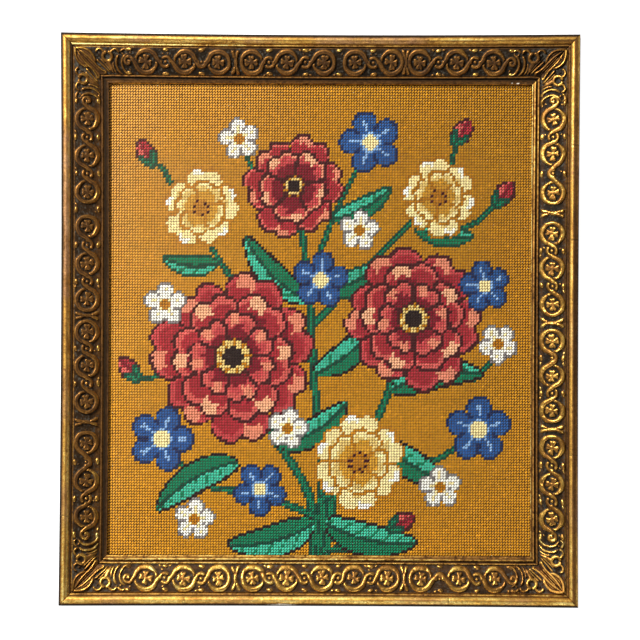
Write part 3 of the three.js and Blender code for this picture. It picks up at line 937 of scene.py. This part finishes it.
class Mesh:
    """Gathers points and faces, with a colour, metal, roughness and place on the map for each point or corner."""

    def __init__(self):
        self.points, self.colour, self.metal, self.rough = [], [], [], []
        self.count = 0
        self.loops, self.sizes, self.uv, self.smooth = [], [], [], []

    def add(self, points, colour, metal=0.0, rough=0.8):
        n = len(points)
        self.points.append(np.asarray(points, np.float64).reshape(n, 3))
        self.colour.append(np.broadcast_to(np.asarray(colour, np.float64), (n, 3)))
        self.metal.append(np.broadcast_to(np.asarray(metal, np.float64), (n,)))
        self.rough.append(np.broadcast_to(np.asarray(rough, np.float64), (n,)))
        self.count += n
        return np.arange(self.count - n, self.count)

    def faces(self, corners, uv, shade):
        """corners is an array of faces by corners; uv the same with two numbers for each corner."""
        corners = np.asarray(corners)
        f, k = corners.shape
        self.loops.append(corners.reshape(-1))
        self.sizes.append(np.full(f, k))
        self.uv.append(np.asarray(uv, np.float64).reshape(-1, 2))
        self.smooth.append(np.full(f, shade))

    def build(self, name, material):
        me = bpy.data.meshes.new(name)
        points = np.concatenate(self.points) * MM
        loops, sizes = np.concatenate(self.loops), np.concatenate(self.sizes)
        me.vertices.add(len(points))
        me.vertices.foreach_set("co", points.astype(np.float32).ravel())
        me.loops.add(len(loops))
        me.loops.foreach_set("vertex_index", loops.astype(np.int32))
        me.polygons.add(len(sizes))
        starts = np.concatenate([[0], np.cumsum(sizes)[:-1]])
        me.polygons.foreach_set("loop_start", starts.astype(np.int32))
        me.polygons.foreach_set("use_smooth", np.concatenate(self.smooth).astype(bool))
        me.update(calc_edges=True)
        colour = np.ones((len(points), 4))
        colour[:, :3] = np.concatenate(self.colour)
        me.attributes.new("Tint", "FLOAT_COLOR", "POINT").data.foreach_set("color", colour.astype(np.float32).ravel())
        me.attributes.new("Metal", "FLOAT", "POINT").data.foreach_set("value", np.concatenate(self.metal).astype(np.float32))
        me.attributes.new("Rough", "FLOAT", "POINT").data.foreach_set("value", np.concatenate(self.rough).astype(np.float32))
        me.uv_layers.new(name="OFBake").data.foreach_set("uv", np.concatenate(self.uv).astype(np.float32).ravel())
        if me.validate():
            raise SystemExit(f"{name}: the mesh had to be repaired")
        me.materials.append(material)
        ob = bpy.data.objects.new(name, me)
        bpy.context.scene.collection.objects.link(ob)
        return ob


STEP = 8                   # fine columns to one coarse one


def make_rail(node, material):
    turn, rail, seed = RAILS[node]
    length = FRAME_W if turn % 2 == 0 else FRAME_H
    width, nxt = (END_WIDTH, SIDE_WIDTH) if turn % 2 == 0 else (SIDE_WIDTH, END_WIDTH)
    reach = (FRAME_H if turn % 2 == 0 else FRAME_W) / 2
    slope = nxt / width
    saw = 0.02 * math.hypot(1, slope)          # the joint is closed to a hair's breadth, and dark
    cols = int(round(length / 0.5 / STEP)) * STEP

    rows = rail_rows()
    close = np.array([0.0, 0.14, 0.30, 0.50, 0.75, 1.05])
    middle = np.linspace(1.45, length / 2, cols // 2 - len(close) + 1)
    half = np.concatenate([close, middle]) / length
    k = np.concatenate([half, 1 - half[-2::-1]])

    def place(u_real, k):
        """s along the rail at a share k of its length there."""
        cut = u_real * slope + saw
        return cut + (length - 2 * cut) * k

    u = np.repeat(rows[:, None], cols + 1, 1)
    s = place(rows[:, None] * width / MOULDING_WIDTH, k[None, :])
    rel, pearls = relief(s, u, rail, length, width, seed)
    cut = place(rows[:, None] * width / MOULDING_WIDTH, np.zeros((1, 1)))
    gap = (np.minimum(s, length - s) - cut) / math.hypot(1, slope)
    z = face_height(s, u, rel, rail, seed, gap)
    # the two ends and the outer side stay on the CAD's own planes
    z = z - LIP_LOW[rail] * smooth(36.4, 37.6, u) * smooth(0.0, 8.0, gap)
    z[0, :] = BEAD_Z
    colour, metal, rough = gilt(s, u, rel, pearls, rail, seed, gap)

    angle = turn * math.pi / 2
    ca, sa = math.cos(angle), math.sin(angle)

    def world(s, across, z, bow=1.0):
        draw = bow * BOW[rail] * (1 - (2 * s / length - 1) ** 2)
        x, y = s - length / 2, across + draw - reach
        return np.stack([x * ca - y * sa, x * sa + y * ca, z], -1)

    def set_back(s, u):
        """The sight lip lies straighter than the rail."""
        return -LIP_STRAIGHT[rail] * (1 - (2 * s / length - 1) ** 2) * smooth(33.0, 39.0, u)

    m = Mesh()
    lean = set_back(s, u) + SHIFT[rail] * smooth(30.4, 31.5, u) * smooth(38.0, 37.0, u) * smooth(0.0, 6.0, gap)
    top = m.add(
        world(s, (u + lean) * width / MOULDING_WIDTH, z).reshape(-1, 3), colour.reshape(-1, 3), metal.reshape(-1), rough.reshape(-1)
    ).reshape(s.shape)

    # the map: distance round the section runs up it, and the rail's length runs along it
    ring = [0.0]
    plain = plain_height(rows)
    for i in range(1, len(rows)):
        ring.append(ring[-1] + math.hypot((rows[i] - rows[i - 1]) * width / MOULDING_WIDTH, plain[i] - plain[i - 1]))
    back = [
        # across, z, tone: the sight edge, the ledge over the canvas, the rabbet's wall, the back
        (width, LEDGE_Z), (width - RABBET, LEDGE_Z), (width - RABBET, 0.0), (0.0, 0.0),
    ]
    last = (width, plain[-1])
    for a in back:
        ring.append(ring[-1] + math.hypot(a[0] - last[0], a[1] - last[1]))
        last = a
    ring.append(ring[-1] + BEAD_Z)
    ring = np.array(ring) / ring[-1] * 0.90

    def quads(a, b, va, vb, ks, shade):
        """Faces between two rows of points, a nearer the outer edge."""
        c = np.stack([a[:-1], a[1:], b[1:], b[:-1]], -1)
        uv = np.stack([
            np.stack([ks[:-1], np.full(len(ks) - 1, va)], -1), np.stack([ks[1:], np.full(len(ks) - 1, va)], -1),
            np.stack([ks[1:], np.full(len(ks) - 1, vb)], -1), np.stack([ks[:-1], np.full(len(ks) - 1, vb)], -1),
        ], 1)
        m.faces(c, uv, shade)

    for i in range(len(rows) - 1):
        quads(top[i], top[i + 1], ring[i], ring[i + 1], k, True)

    # the plain back of the rail, in coarser columns
    kc = k[::STEP]
    wood = np.array((0.105, 0.062, 0.034))
    coarse = []
    for j, (across, up) in enumerate(back):
        sc = place(np.full(len(kc), across), kc)
        # the rabbet's wall stays straight, clear of the canvas
        pull = set_back(sc, np.full(len(kc), 38.0)) * width / MOULDING_WIDTH if j == 0 else 0.0
        at = world(sc, across + pull, np.full(len(kc), up), 0.0 if j in (1, 2) else 1.0)
        streak = 1 + 0.16 * fractal(sc / 60.0, np.full(len(kc), across * 3.1 + up), seed + 95, 2)
        streak[[0, -1]] *= 0.45
        # the row at the sight edge's foot, by the canvas, is near-black: painted shade under the lip; the rest of the
        # back is the wood's own brown
        coarse.append(m.add(at, wood * streak[:, None] if j else UMBER, 0.0, 0.75))

    def fan(fine, coarse_row, vf, vc, flip):
        """Faces with one coarse side and STEP fine ones."""
        n = len(coarse_row) - 1
        c, uv = [], []
        for i in range(n):
            f = fine[i * STEP : (i + 1) * STEP + 1]
            kf = k[i * STEP : (i + 1) * STEP + 1]
            row = [*f, coarse_row[i + 1], coarse_row[i]]
            place_ = [*[(x, vf) for x in kf], (kc[i + 1], vc), (kc[i], vc)]
            if flip:
                row, place_ = row[::-1], place_[::-1]
            c.append(row)
            uv.append(place_)
        m.faces(np.array(c), np.array(uv), False)

    n = len(rows)
    fan(top[-1], coarse[0], ring[n - 1], ring[n], False)
    for j in range(3):
        quads(coarse[j], coarse[j + 1], ring[n + j], ring[n + j + 1], kc, False)
    fan(top[0], coarse[3], ring[n + 4], ring[n + 3], True)

    # the two mitred ends, each one face
    for end, flip in ((0, False), (-1, True)):
        row = [*top[:, end], *[c[end] for c in coarse]]
        span = [*(rows * width / MOULDING_WIDTH), *[b[0] for b in back]]
        up = [*z[:, end], *[b[1] for b in back]]
        at = 0.03 if end == 0 else 0.53
        uv = [(at + 0.44 * a / width, 0.915 + 0.08 * h / 25.2) for a, h in zip(span, up)]
        if not flip:
            row, uv = row[::-1], uv[::-1]
        # row runs from the outer edge in over the face and back beneath
        m.faces(np.array([row]), np.array([uv]), False)

    ob = m.build(f"gilt_{node}", material)
    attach(ob, "root")
    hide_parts(node)
    return ob


# ------------------------------------------------------------------ canvas and stitches

EXTRA = 1                  # stitches that run on beneath the lip, each side
PITCH_X, PITCH_Y = OPEN_W / COLS, OPEN_H / ROWS
CANVAS_TOP = 10.45
CREST = 11.42
SLACK = [(0.16, 1, 1, 0.00, 0.00), (0.07, 3, 2, 0.35, 0.10), (0.05, 2, 5, 0.80, 0.45)]


def slack_at(x, y):
    """The same low swells as the CAD canvas has."""
    across, along = x / CANVAS_W + 0.5, y / CANVAS_H + 0.5
    held = np.minimum(1, 5 * np.minimum(np.minimum(across, 1 - across), np.minimum(along, 1 - along)))
    rise = sum(h * np.sin(np.pi * (wx * across + sx)) * np.sin(np.pi * (wy * along + sy)) for h, wx, wy, sx, sy in SLACK)
    return rise * held


def linear(c):
    c = np.asarray(c, float) / 255
    return np.where(c <= 0.04045, c / 12.92, ((c + 0.055) / 1.055) ** 2.4)


def map_place(x, y):
    """Where a point of the canvas lies on the map."""
    return np.stack([x / CANVAS_W * 0.96 + 0.5, y / CANVAS_H * 0.96 + 0.5], -1)


def make_canvas(material):
    """The woven ground, a thin closed sheet under the stitches."""
    nx, ny = 36, 40
    gx, gy = np.linspace(-CANVAS_W / 2, CANVAS_W / 2, nx + 1), np.linspace(-CANVAS_H / 2, CANVAS_H / 2, ny + 1)
    x, y = np.meshgrid(gx, gy)
    bottom_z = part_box("needlepoint")[0][2] / MM
    low = 8.65
    m = Mesh()
    rise = slack_at(x, y)
    pt = lambda z: np.stack([x, y, z], -1).reshape(-1, 3)
    # the canvas's face is dark brown: painted shade showing in the gaps between the stitches
    up = m.add(pt(CANVAS_TOP + rise), linear((66, 42, 16)), 0.0, 0.9).reshape(x.shape)
    down = m.add(pt(np.maximum(low + rise, bottom_z)), linear((176, 140, 84)), 0.0, 0.9).reshape(x.shape)

    def grid(idx, flip, half):
        c = np.stack([idx[:-1, :-1], idx[:-1, 1:], idx[1:, 1:], idx[1:, :-1]], -1).reshape(-1, 4)
        q = map_place(x, y) * np.array((0.49, 0.97)) + np.array((0.005 + 0.5 * half, 0.005))
        uv = np.stack([q[:-1, :-1], q[:-1, 1:], q[1:, 1:], q[1:, :-1]], -2).reshape(-1, 4, 2)
        if flip:
            c, uv = c[:, ::-1], uv[:, ::-1]
        m.faces(c, uv, True)

    grid(up, False, 0)
    grid(down, True, 1)
    # the cut edges, on a narrow strip of the map
    rim_u = [up[0, :], up[:, -1], up[-1, ::-1], up[::-1, 0]]
    rim_d = [down[0, :], down[:, -1], down[-1, ::-1], down[::-1, 0]]
    for i, (a, b) in enumerate(zip(rim_u, rim_d)):
        c = np.stack([b[:-1], b[1:], a[1:], a[:-1]], -1)
        t = np.linspace(0.01 + 0.245 * i, 0.25 + 0.245 * i, len(a))
        lo, hi = np.full(len(a) - 1, 0.981), np.full(len(a) - 1, 0.998)
        uv = np.stack([np.stack([t[:-1], lo], -1), np.stack([t[1:], lo], -1), np.stack([t[1:], hi], -1), np.stack([t[:-1], hi], -1)], 1)
        m.faces(c, uv, False)
    ob = m.build("canvas", material)
    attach(ob, "root")
    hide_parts("needlepoint")
    return ob


def make_stitches(material):
    """Every tent stitch as a short plump form that slants up to the right, in two halves of the picture."""
    chart = make_chart()
    rng = np.random.default_rng(7)
    i, j = np.meshgrid(np.arange(-EXTRA, COLS + EXTRA), np.arange(-EXTRA, ROWS + EXTRA))
    i, j = i.ravel(), j.ravel()
    n = len(i)
    yarn = chart[np.clip(j, 0, ROWS - 1), np.clip(i, 0, COLS - 1)]
    cx, cy = (i + 0.5) * PITCH_X - OPEN_W / 2, (j + 0.5) * PITCH_Y - OPEN_H / 2

    # the canvas has crept a little, so that rows and columns wander
    wx = 0.30 * fractal(cx / 70, cy / 55, 3, 2) + 0.10 * fractal(cx / 14, cy / 90, 4, 2)
    wy = 0.32 * fractal(cx / 80, cy / 60, 5, 2) + 0.12 * fractal(cx / 90, cy / 13, 6, 2)
    edge = np.minimum(np.minimum(i + EXTRA, COLS + EXTRA - 1 - i), np.minimum(j + EXTRA, ROWS + EXTRA - 1 - j))
    hold = np.clip(edge / 6.0, 0, 1)
    cx, cy = cx + wx * hold, cy + wy * hold
    jx, jy = rng.normal(0, 0.045, n), rng.normal(0, 0.045, n)
    slant = math.atan2(PITCH_Y, PITCH_X) + rng.normal(0, 0.045, n)
    half_len = 0.5 * math.hypot(PITCH_X, PITCH_Y) * rng.uniform(0.97, 1.06, n)
    half_wide = 0.86 * rng.uniform(0.92, 1.08, n)
    crest = CREST - CANVAS_TOP + rng.normal(0, 0.05, n).clip(-0.12, 0.10)

    # along, across and up the stitch: tip, ring, ring, tip
    form = np.array([
        (-1.00, 0.0, 0.16),
        (-0.50, 1.0, 0.30), (-0.46, 0.0, 0.96), (-0.50, -1.0, 0.30),
        (0.50, 1.0, 0.30), (0.46, 0.0, 1.00), (0.50, -1.0, 0.30),
        (1.00, 0.0, 0.16),
    ])
    ca, sa = np.cos(slant)[:, None], np.sin(slant)[:, None]
    along = form[None, :, 0] * half_len[:, None]
    across = form[None, :, 1] * half_wide[:, None]
    x = cx[:, None] + jx[:, None] + along * ca - across * sa
    y = cy[:, None] + jy[:, None] + along * sa + across * ca
    z = CANVAS_TOP + slack_at(x, y) + form[None, :, 2] * crest[:, None]
    # each stitch's underside sits in the canvas, on the same outline
    points = np.stack([x, y, z], -1)

    colour = linear(np.array([WOOL[k] for k in WOOL_NAMES]))[yarn]
    # dye lots and hand: each length of yarn is worked along a row, so its shade runs along rows
    lot = 0.075 * fractal(i / 19.0, j / 1.7, 21, 2) + 0.05 * fractal(i / 30.0, j / 26.0, 22, 2)
    each = rng.normal(0, 0.055, n)
    # a few stitches are lighter: painted sheen, where the wool catches the light
    sheen_fleck = (rng.uniform(size=n) < 0.035) * rng.uniform(0.12, 0.34, n)
    ochre = np.isin(yarn, [WOOL_NAMES.index(k) for k in ("ochre", "ochre_deep", "ochre_light", "tan")])
    shade = (1 + lot + each + sheen_fleck)[:, None]
    colour = colour * shade
    # paler and pinker towards the upper left, mostly on the ochre ground: painted sheen from the lamp there
    across, along = cx / (OPEN_W / 2), cy / (OPEN_H / 2)
    painted_sheen = np.clip(-0.10 - 0.72 * across + 0.34 * along, 0, 1) ** 1.5
    painted_sheen = (painted_sheen * np.where(ochre, 0.26, 0.08) * (0.8 + 0.5 * fractal(cx / 45, cy / 45, 31, 3)))[:, None]
    colour = colour * (1 - painted_sheen) + np.array((0.62, 0.405, 0.225)) * painted_sheen
    # darker towards the top and the right, fully on the ochre ground and less on the rest: painted falloff of the light
    painted_falloff = np.clip(0.99 - 0.11 * along - 0.12 * across - 0.04 * across * along, 0.7, 1.15)
    colour = colour * np.where(ochre, painted_falloff, 1 + 0.4 * (painted_falloff - 1))[:, None]
    hue = 1 + 0.05 * fractal(i / 24.0, j / 20.0, 24, 2)
    colour = np.clip(colour * np.stack([hue**0.3, hue, hue**1.6], -1), 0.003, 0.95)

    tri = np.array([
        (0, 2, 1), (0, 3, 2), (7, 4, 5), (7, 5, 6),
        (0, 1, 3), (7, 6, 4),
    ])
    quad = np.array([(1, 2, 5, 4), (2, 3, 6, 5), (1, 4, 6, 3)])
    cut = ROWS // 2
    obs = []
    for name, mine in (("stitches_lower", j < cut), ("stitches_upper", j >= cut)):
        p = points[mine]
        k = len(p)
        m = Mesh()
        # each stitch is darker at its tips and sides and lighter on its crest: painted shade between the stitches and
        # painted highlight on top
        painted_shade_of = np.array([0.60, 0.70, 1.08, 0.70, 0.70, 1.08, 0.70, 0.60])
        m.add(p.reshape(-1, 3), (colour[mine][:, None, :] * painted_shade_of[None, :, None]).reshape(-1, 3), 0.0, 0.82)
        base = (np.arange(k) * 8)[:, None, None]
        # a stitch's own place on the picture; the underside has a narrow place beside it
        lo_y, hi_y = p[..., 1].min(), p[..., 1].max()
        u = (p[..., 0] / CANVAS_W + 0.5) * 0.98 + 0.01
        v = (p[..., 1] - lo_y) / (hi_y - lo_y) * 0.98 + 0.01
        uv = np.stack([u, v], -1)
        for faces in (tri, quad):
            m.faces((base + faces[None]).reshape(-1, faces.shape[1]), uv[:, faces].reshape(-1, 2), True)
        ob = m.build(name, material)
        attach(ob, "root")
        obs.append(ob)
    return obs


# ------------------------------------------------------------------ finishes

def nodes_of(name):
    mat = bpy.data.materials.new(name)
    mat.use_nodes = True
    tree = mat.node_tree
    tree.nodes.clear()
    out = tree.nodes.new("ShaderNodeOutputMaterial")
    bsdf = tree.nodes.new("ShaderNodeBsdfPrincipled")
    tree.links.new(bsdf.outputs["BSDF"], out.inputs["Surface"])
    return mat, tree, bsdf


def noise_node(tree, coord, scale, detail=3.0, rough=0.55, stretch=None, turn=0.0):
    source = coord
    if stretch or turn:
        mapping = tree.nodes.new("ShaderNodeMapping")
        mapping.inputs["Rotation"].default_value = (0, 0, turn)
        mapping.inputs["Scale"].default_value = stretch or (1, 1, 1)
        tree.links.new(coord, mapping.inputs["Vector"])
        source = mapping.outputs["Vector"]
    n = tree.nodes.new("ShaderNodeTexNoise")
    n.inputs["Scale"].default_value = scale
    n.inputs["Detail"].default_value = detail
    n.inputs["Roughness"].default_value = rough
    tree.links.new(source, n.inputs["Vector"])
    return n.outputs["Fac"]


def spread(tree, value, lo, hi, out_lo, out_hi):
    r = tree.nodes.new("ShaderNodeMapRange")
    r.inputs["From Min"].default_value, r.inputs["From Max"].default_value = lo, hi
    r.inputs["To Min"].default_value, r.inputs["To Max"].default_value = out_lo, out_hi
    tree.links.new(value, r.inputs["Value"])
    return r.outputs["Result"]


def maths(tree, kind, a, b):
    m = tree.nodes.new("ShaderNodeMath")
    m.operation = kind
    for socket, value in zip(m.inputs, (a, b)):
        if isinstance(value, (int, float)):
            socket.default_value = value
        else:
            tree.links.new(value, socket)
    return m.outputs[0]


def scaled(tree, colour, factor):
    m = tree.nodes.new("ShaderNodeVectorMath")
    m.operation = "SCALE"
    tree.links.new(colour, m.inputs[0])
    tree.links.new(factor, m.inputs["Scale"])
    return m.outputs[0]


def attribute(tree, name):
    a = tree.nodes.new("ShaderNodeAttribute")
    a.attribute_name = name
    return a


def bumped(tree, bsdf, height, strength, distance):
    b = tree.nodes.new("ShaderNodeBump")
    b.inputs["Strength"].default_value = strength
    b.inputs["Distance"].default_value = distance
    tree.links.new(height, b.inputs["Height"])
    tree.links.new(b.outputs["Normal"], bsdf.inputs["Normal"])


def gilt_material():
    """Old gold leaf and bronze paint over gesso: tint, metal and roughness come with the mesh, and fine
    mottling and speckle are added here."""
    mat, tree, bsdf = nodes_of("old_gilding")
    coord = tree.nodes.new("ShaderNodeTexCoord").outputs["Object"]
    # the Tint holds painted light and shade as well as the colours of leaf, bole and wax
    tint, metal, rough = attribute(tree, "Tint"), attribute(tree, "Metal"), attribute(tree, "Rough")
    cloud = noise_node(tree, coord, 420, 4, 0.6)
    speck = noise_node(tree, coord, 1500, 2, 0.6)
    shade = maths(tree, "MULTIPLY", spread(tree, cloud, 0.3, 0.7, 0.72, 1.20), spread(tree, speck, 0.38, 0.60, 0.62, 1.10))
    tree.links.new(scaled(tree, tint.outputs["Color"], shade), bsdf.inputs["Base Color"])
    tree.links.new(metal.outputs["Fac"], bsdf.inputs["Metallic"])
    tree.links.new(maths(tree, "ADD", rough.outputs["Fac"], spread(tree, cloud, 0.3, 0.7, 0.07, -0.06)), bsdf.inputs["Roughness"])
    height = maths(tree, "ADD", cloud, maths(tree, "MULTIPLY", speck, 0.45))
    bumped(tree, bsdf, height, 0.55, 0.00018)
    bsdf.inputs["Specular IOR Level"].default_value = 0.08
    return mat


def wool_material():
    """Crewel wool: the yarn's dye, with painted shade, sheen and falloff, comes with each stitch; fibres run along the
    slant.
    """
    mat, tree, bsdf = nodes_of("needlepoint_wool")
    coord = tree.nodes.new("ShaderNodeTexCoord").outputs["Object"]
    tint = attribute(tree, "Tint")
    slant = -math.atan2(PITCH_Y, PITCH_X)
    fibre = noise_node(tree, coord, 1.0, 3, 0.6, (700, 4200, 2500), slant)
    fuzz = noise_node(tree, coord, 2600, 2, 0.5)
    shade = maths(tree, "MULTIPLY", spread(tree, fibre, 0.3, 0.7, 0.86, 1.12), spread(tree, fuzz, 0.3, 0.7, 0.92, 1.07))
    tree.links.new(scaled(tree, tint.outputs["Color"], shade), bsdf.inputs["Base Color"])
    tree.links.new(spread(tree, fibre, 0.3, 0.7, 0.86, 0.72), bsdf.inputs["Roughness"])
    bumped(tree, bsdf, fibre, 0.5, 0.00012)
    bsdf.inputs["Specular IOR Level"].default_value = 0.10
    bsdf.inputs["Sheen Weight"].default_value = 0.05
    bsdf.inputs["Sheen Roughness"].default_value = 0.45
    bsdf.inputs["Sheen Tint"].default_value = (1.0, 0.93, 0.82, 1.0)
    return mat


def canvas_material():
    """Stiff double-thread canvas, woven in threads at the stitches' pitch, alike on its face and back."""
    mat, tree, bsdf = nodes_of("needlepoint_canvas")
    coord = tree.nodes.new("ShaderNodeTexCoord").outputs["Object"]
    tint = attribute(tree, "Tint")
    waves = []
    for axis, pitch in (("X", PITCH_X), ("Y", PITCH_Y)):
        w = tree.nodes.new("ShaderNodeTexWave")
        w.wave_type, w.bands_direction, w.wave_profile = "BANDS", axis, "SIN"
        # a wave's period is 2 pi / (20 x scale)
        w.inputs["Scale"].default_value = 2 * math.pi / (20 * pitch * MM)
        w.inputs["Distortion"].default_value = 0.6
        w.inputs["Detail"].default_value = 1.0
        w.inputs["Detail Scale"].default_value = 1.0
        tree.links.new(coord, w.inputs["Vector"])
        waves.append(w.outputs["Fac"])
    weave = maths(tree, "MAXIMUM", *waves)
    fibre = noise_node(tree, coord, 2200, 3, 0.6)
    shade = maths(tree, "MULTIPLY", spread(tree, weave, 0.1, 1.0, 0.45, 1.10), spread(tree, fibre, 0.3, 0.7, 0.82, 1.12))
    tree.links.new(scaled(tree, tint.outputs["Color"], shade), bsdf.inputs["Base Color"])
    bsdf.inputs["Roughness"].default_value = 0.92
    bumped(tree, bsdf, maths(tree, "ADD", weave, maths(tree, "MULTIPLY", fibre, 0.3)), 0.7, 0.0004)
    return mat


# ------------------------------------------------------------------ the object

gilding, wool, ground = gilt_material(), wool_material(), canvas_material()
rails = {node: make_rail(node, gilding) for node in RAILS}
canvas = make_canvas(ground)
stitches = make_stitches(wool)


# ------------------------------------------------------------------ floor, light and camera

def floor():
    me = bpy.data.meshes.new("floor")
    r = 12.0
    me.from_pydata([(-r, -r, -0.0004), (r, -r, -0.0004), (r, r, -0.0004), (-r, r, -0.0004)], [], [(0, 1, 2, 3)])
    ob = bpy.data.objects.new("floor", me)
    bpy.context.scene.collection.objects.link(ob)
    mat, tree, bsdf = nodes_of("paper")
    bsdf.inputs["Base Color"].default_value = (0.30, 0.30, 0.30, 1)
    bsdf.inputs["Roughness"].default_value = 0.9
    bsdf.inputs["Emission Color"].default_value = (1, 1, 1, 1)
    bsdf.inputs["Emission Strength"].default_value = 0.96
    me.materials.append(mat)
    # a white screen all round, which a low view needs behind the object; it throws no light on it
    n, far, high = 48, 11.6, 3.0
    ring = [(far * math.cos(2 * math.pi * k / n), far * math.sin(2 * math.pi * k / n)) for k in range(n)]
    me = bpy.data.meshes.new("screen")
    me.from_pydata(
        [(x, y, -0.0004) for x, y in ring] + [(x, y, high) for x, y in ring], [],
        [((k + 1) % n, k, n + k, n + (k + 1) % n) for k in range(n)],
    )
    screen = bpy.data.objects.new("screen", me)
    bpy.context.scene.collection.objects.link(screen)
    me.materials.append(mat)
    screen.visible_diffuse = screen.visible_glossy = screen.visible_shadow = screen.visible_transmission = False


def area(name, place, size, power, colour=(1, 1, 1)):
    data = bpy.data.lights.new(name, "AREA")
    data.shape, data.size, data.energy, data.color = "DISK", size, power, colour
    ob = bpy.data.objects.new(name, data)
    ob.location = place
    ob.rotation_euler = (Vector((0, 0, 0)) - Vector(place)).to_track_quat("-Z", "Y").to_euler()
    bpy.context.scene.collection.objects.link(ob)
    return ob


floor()
area("key", (-0.84, 0.90, 1.04), 0.42, 65, (1.0, 0.985, 0.96))
area("fill", (0.10, -1.02, 0.98), 0.60, 5, (1.0, 0.985, 0.96))

world = bpy.data.worlds.new("studio")
world.use_nodes = True
tree = world.node_tree
back = tree.nodes["Background"]
back.inputs["Color"].default_value = (1.0, 0.98, 0.95, 1)
back.inputs["Strength"].default_value = 0.12
scene = bpy.context.scene
scene.world = world
scene.view_settings.view_transform = "Standard"

# Straight down on the picture's face, as in the photo, from 3.2 m. The frame is level to a quarter of a degree.
data = bpy.data.cameras.new("camera")
data.sensor_width = 36.0
cam = bpy.data.objects.new("camera", data)
DISTANCE = 3.2
PHOTO_SCALE = 0.7714 * MM          # one pixel, at the height of the frame's outer edge
PLANE = BEAD_Z * MM
data.lens = data.sensor_width * DISTANCE / (640 * PHOTO_SCALE)
data.clip_start, data.clip_end = 0.05, 30
cam.location = (0.5 * PHOTO_SCALE, 0.03 * PHOTO_SCALE, PLANE + DISTANCE)
cam.rotation_euler = (0, 0, math.radians(0.24))
scene.collection.objects.link(cam)
scene.camera = cam

bpy.context.view_layer.update()
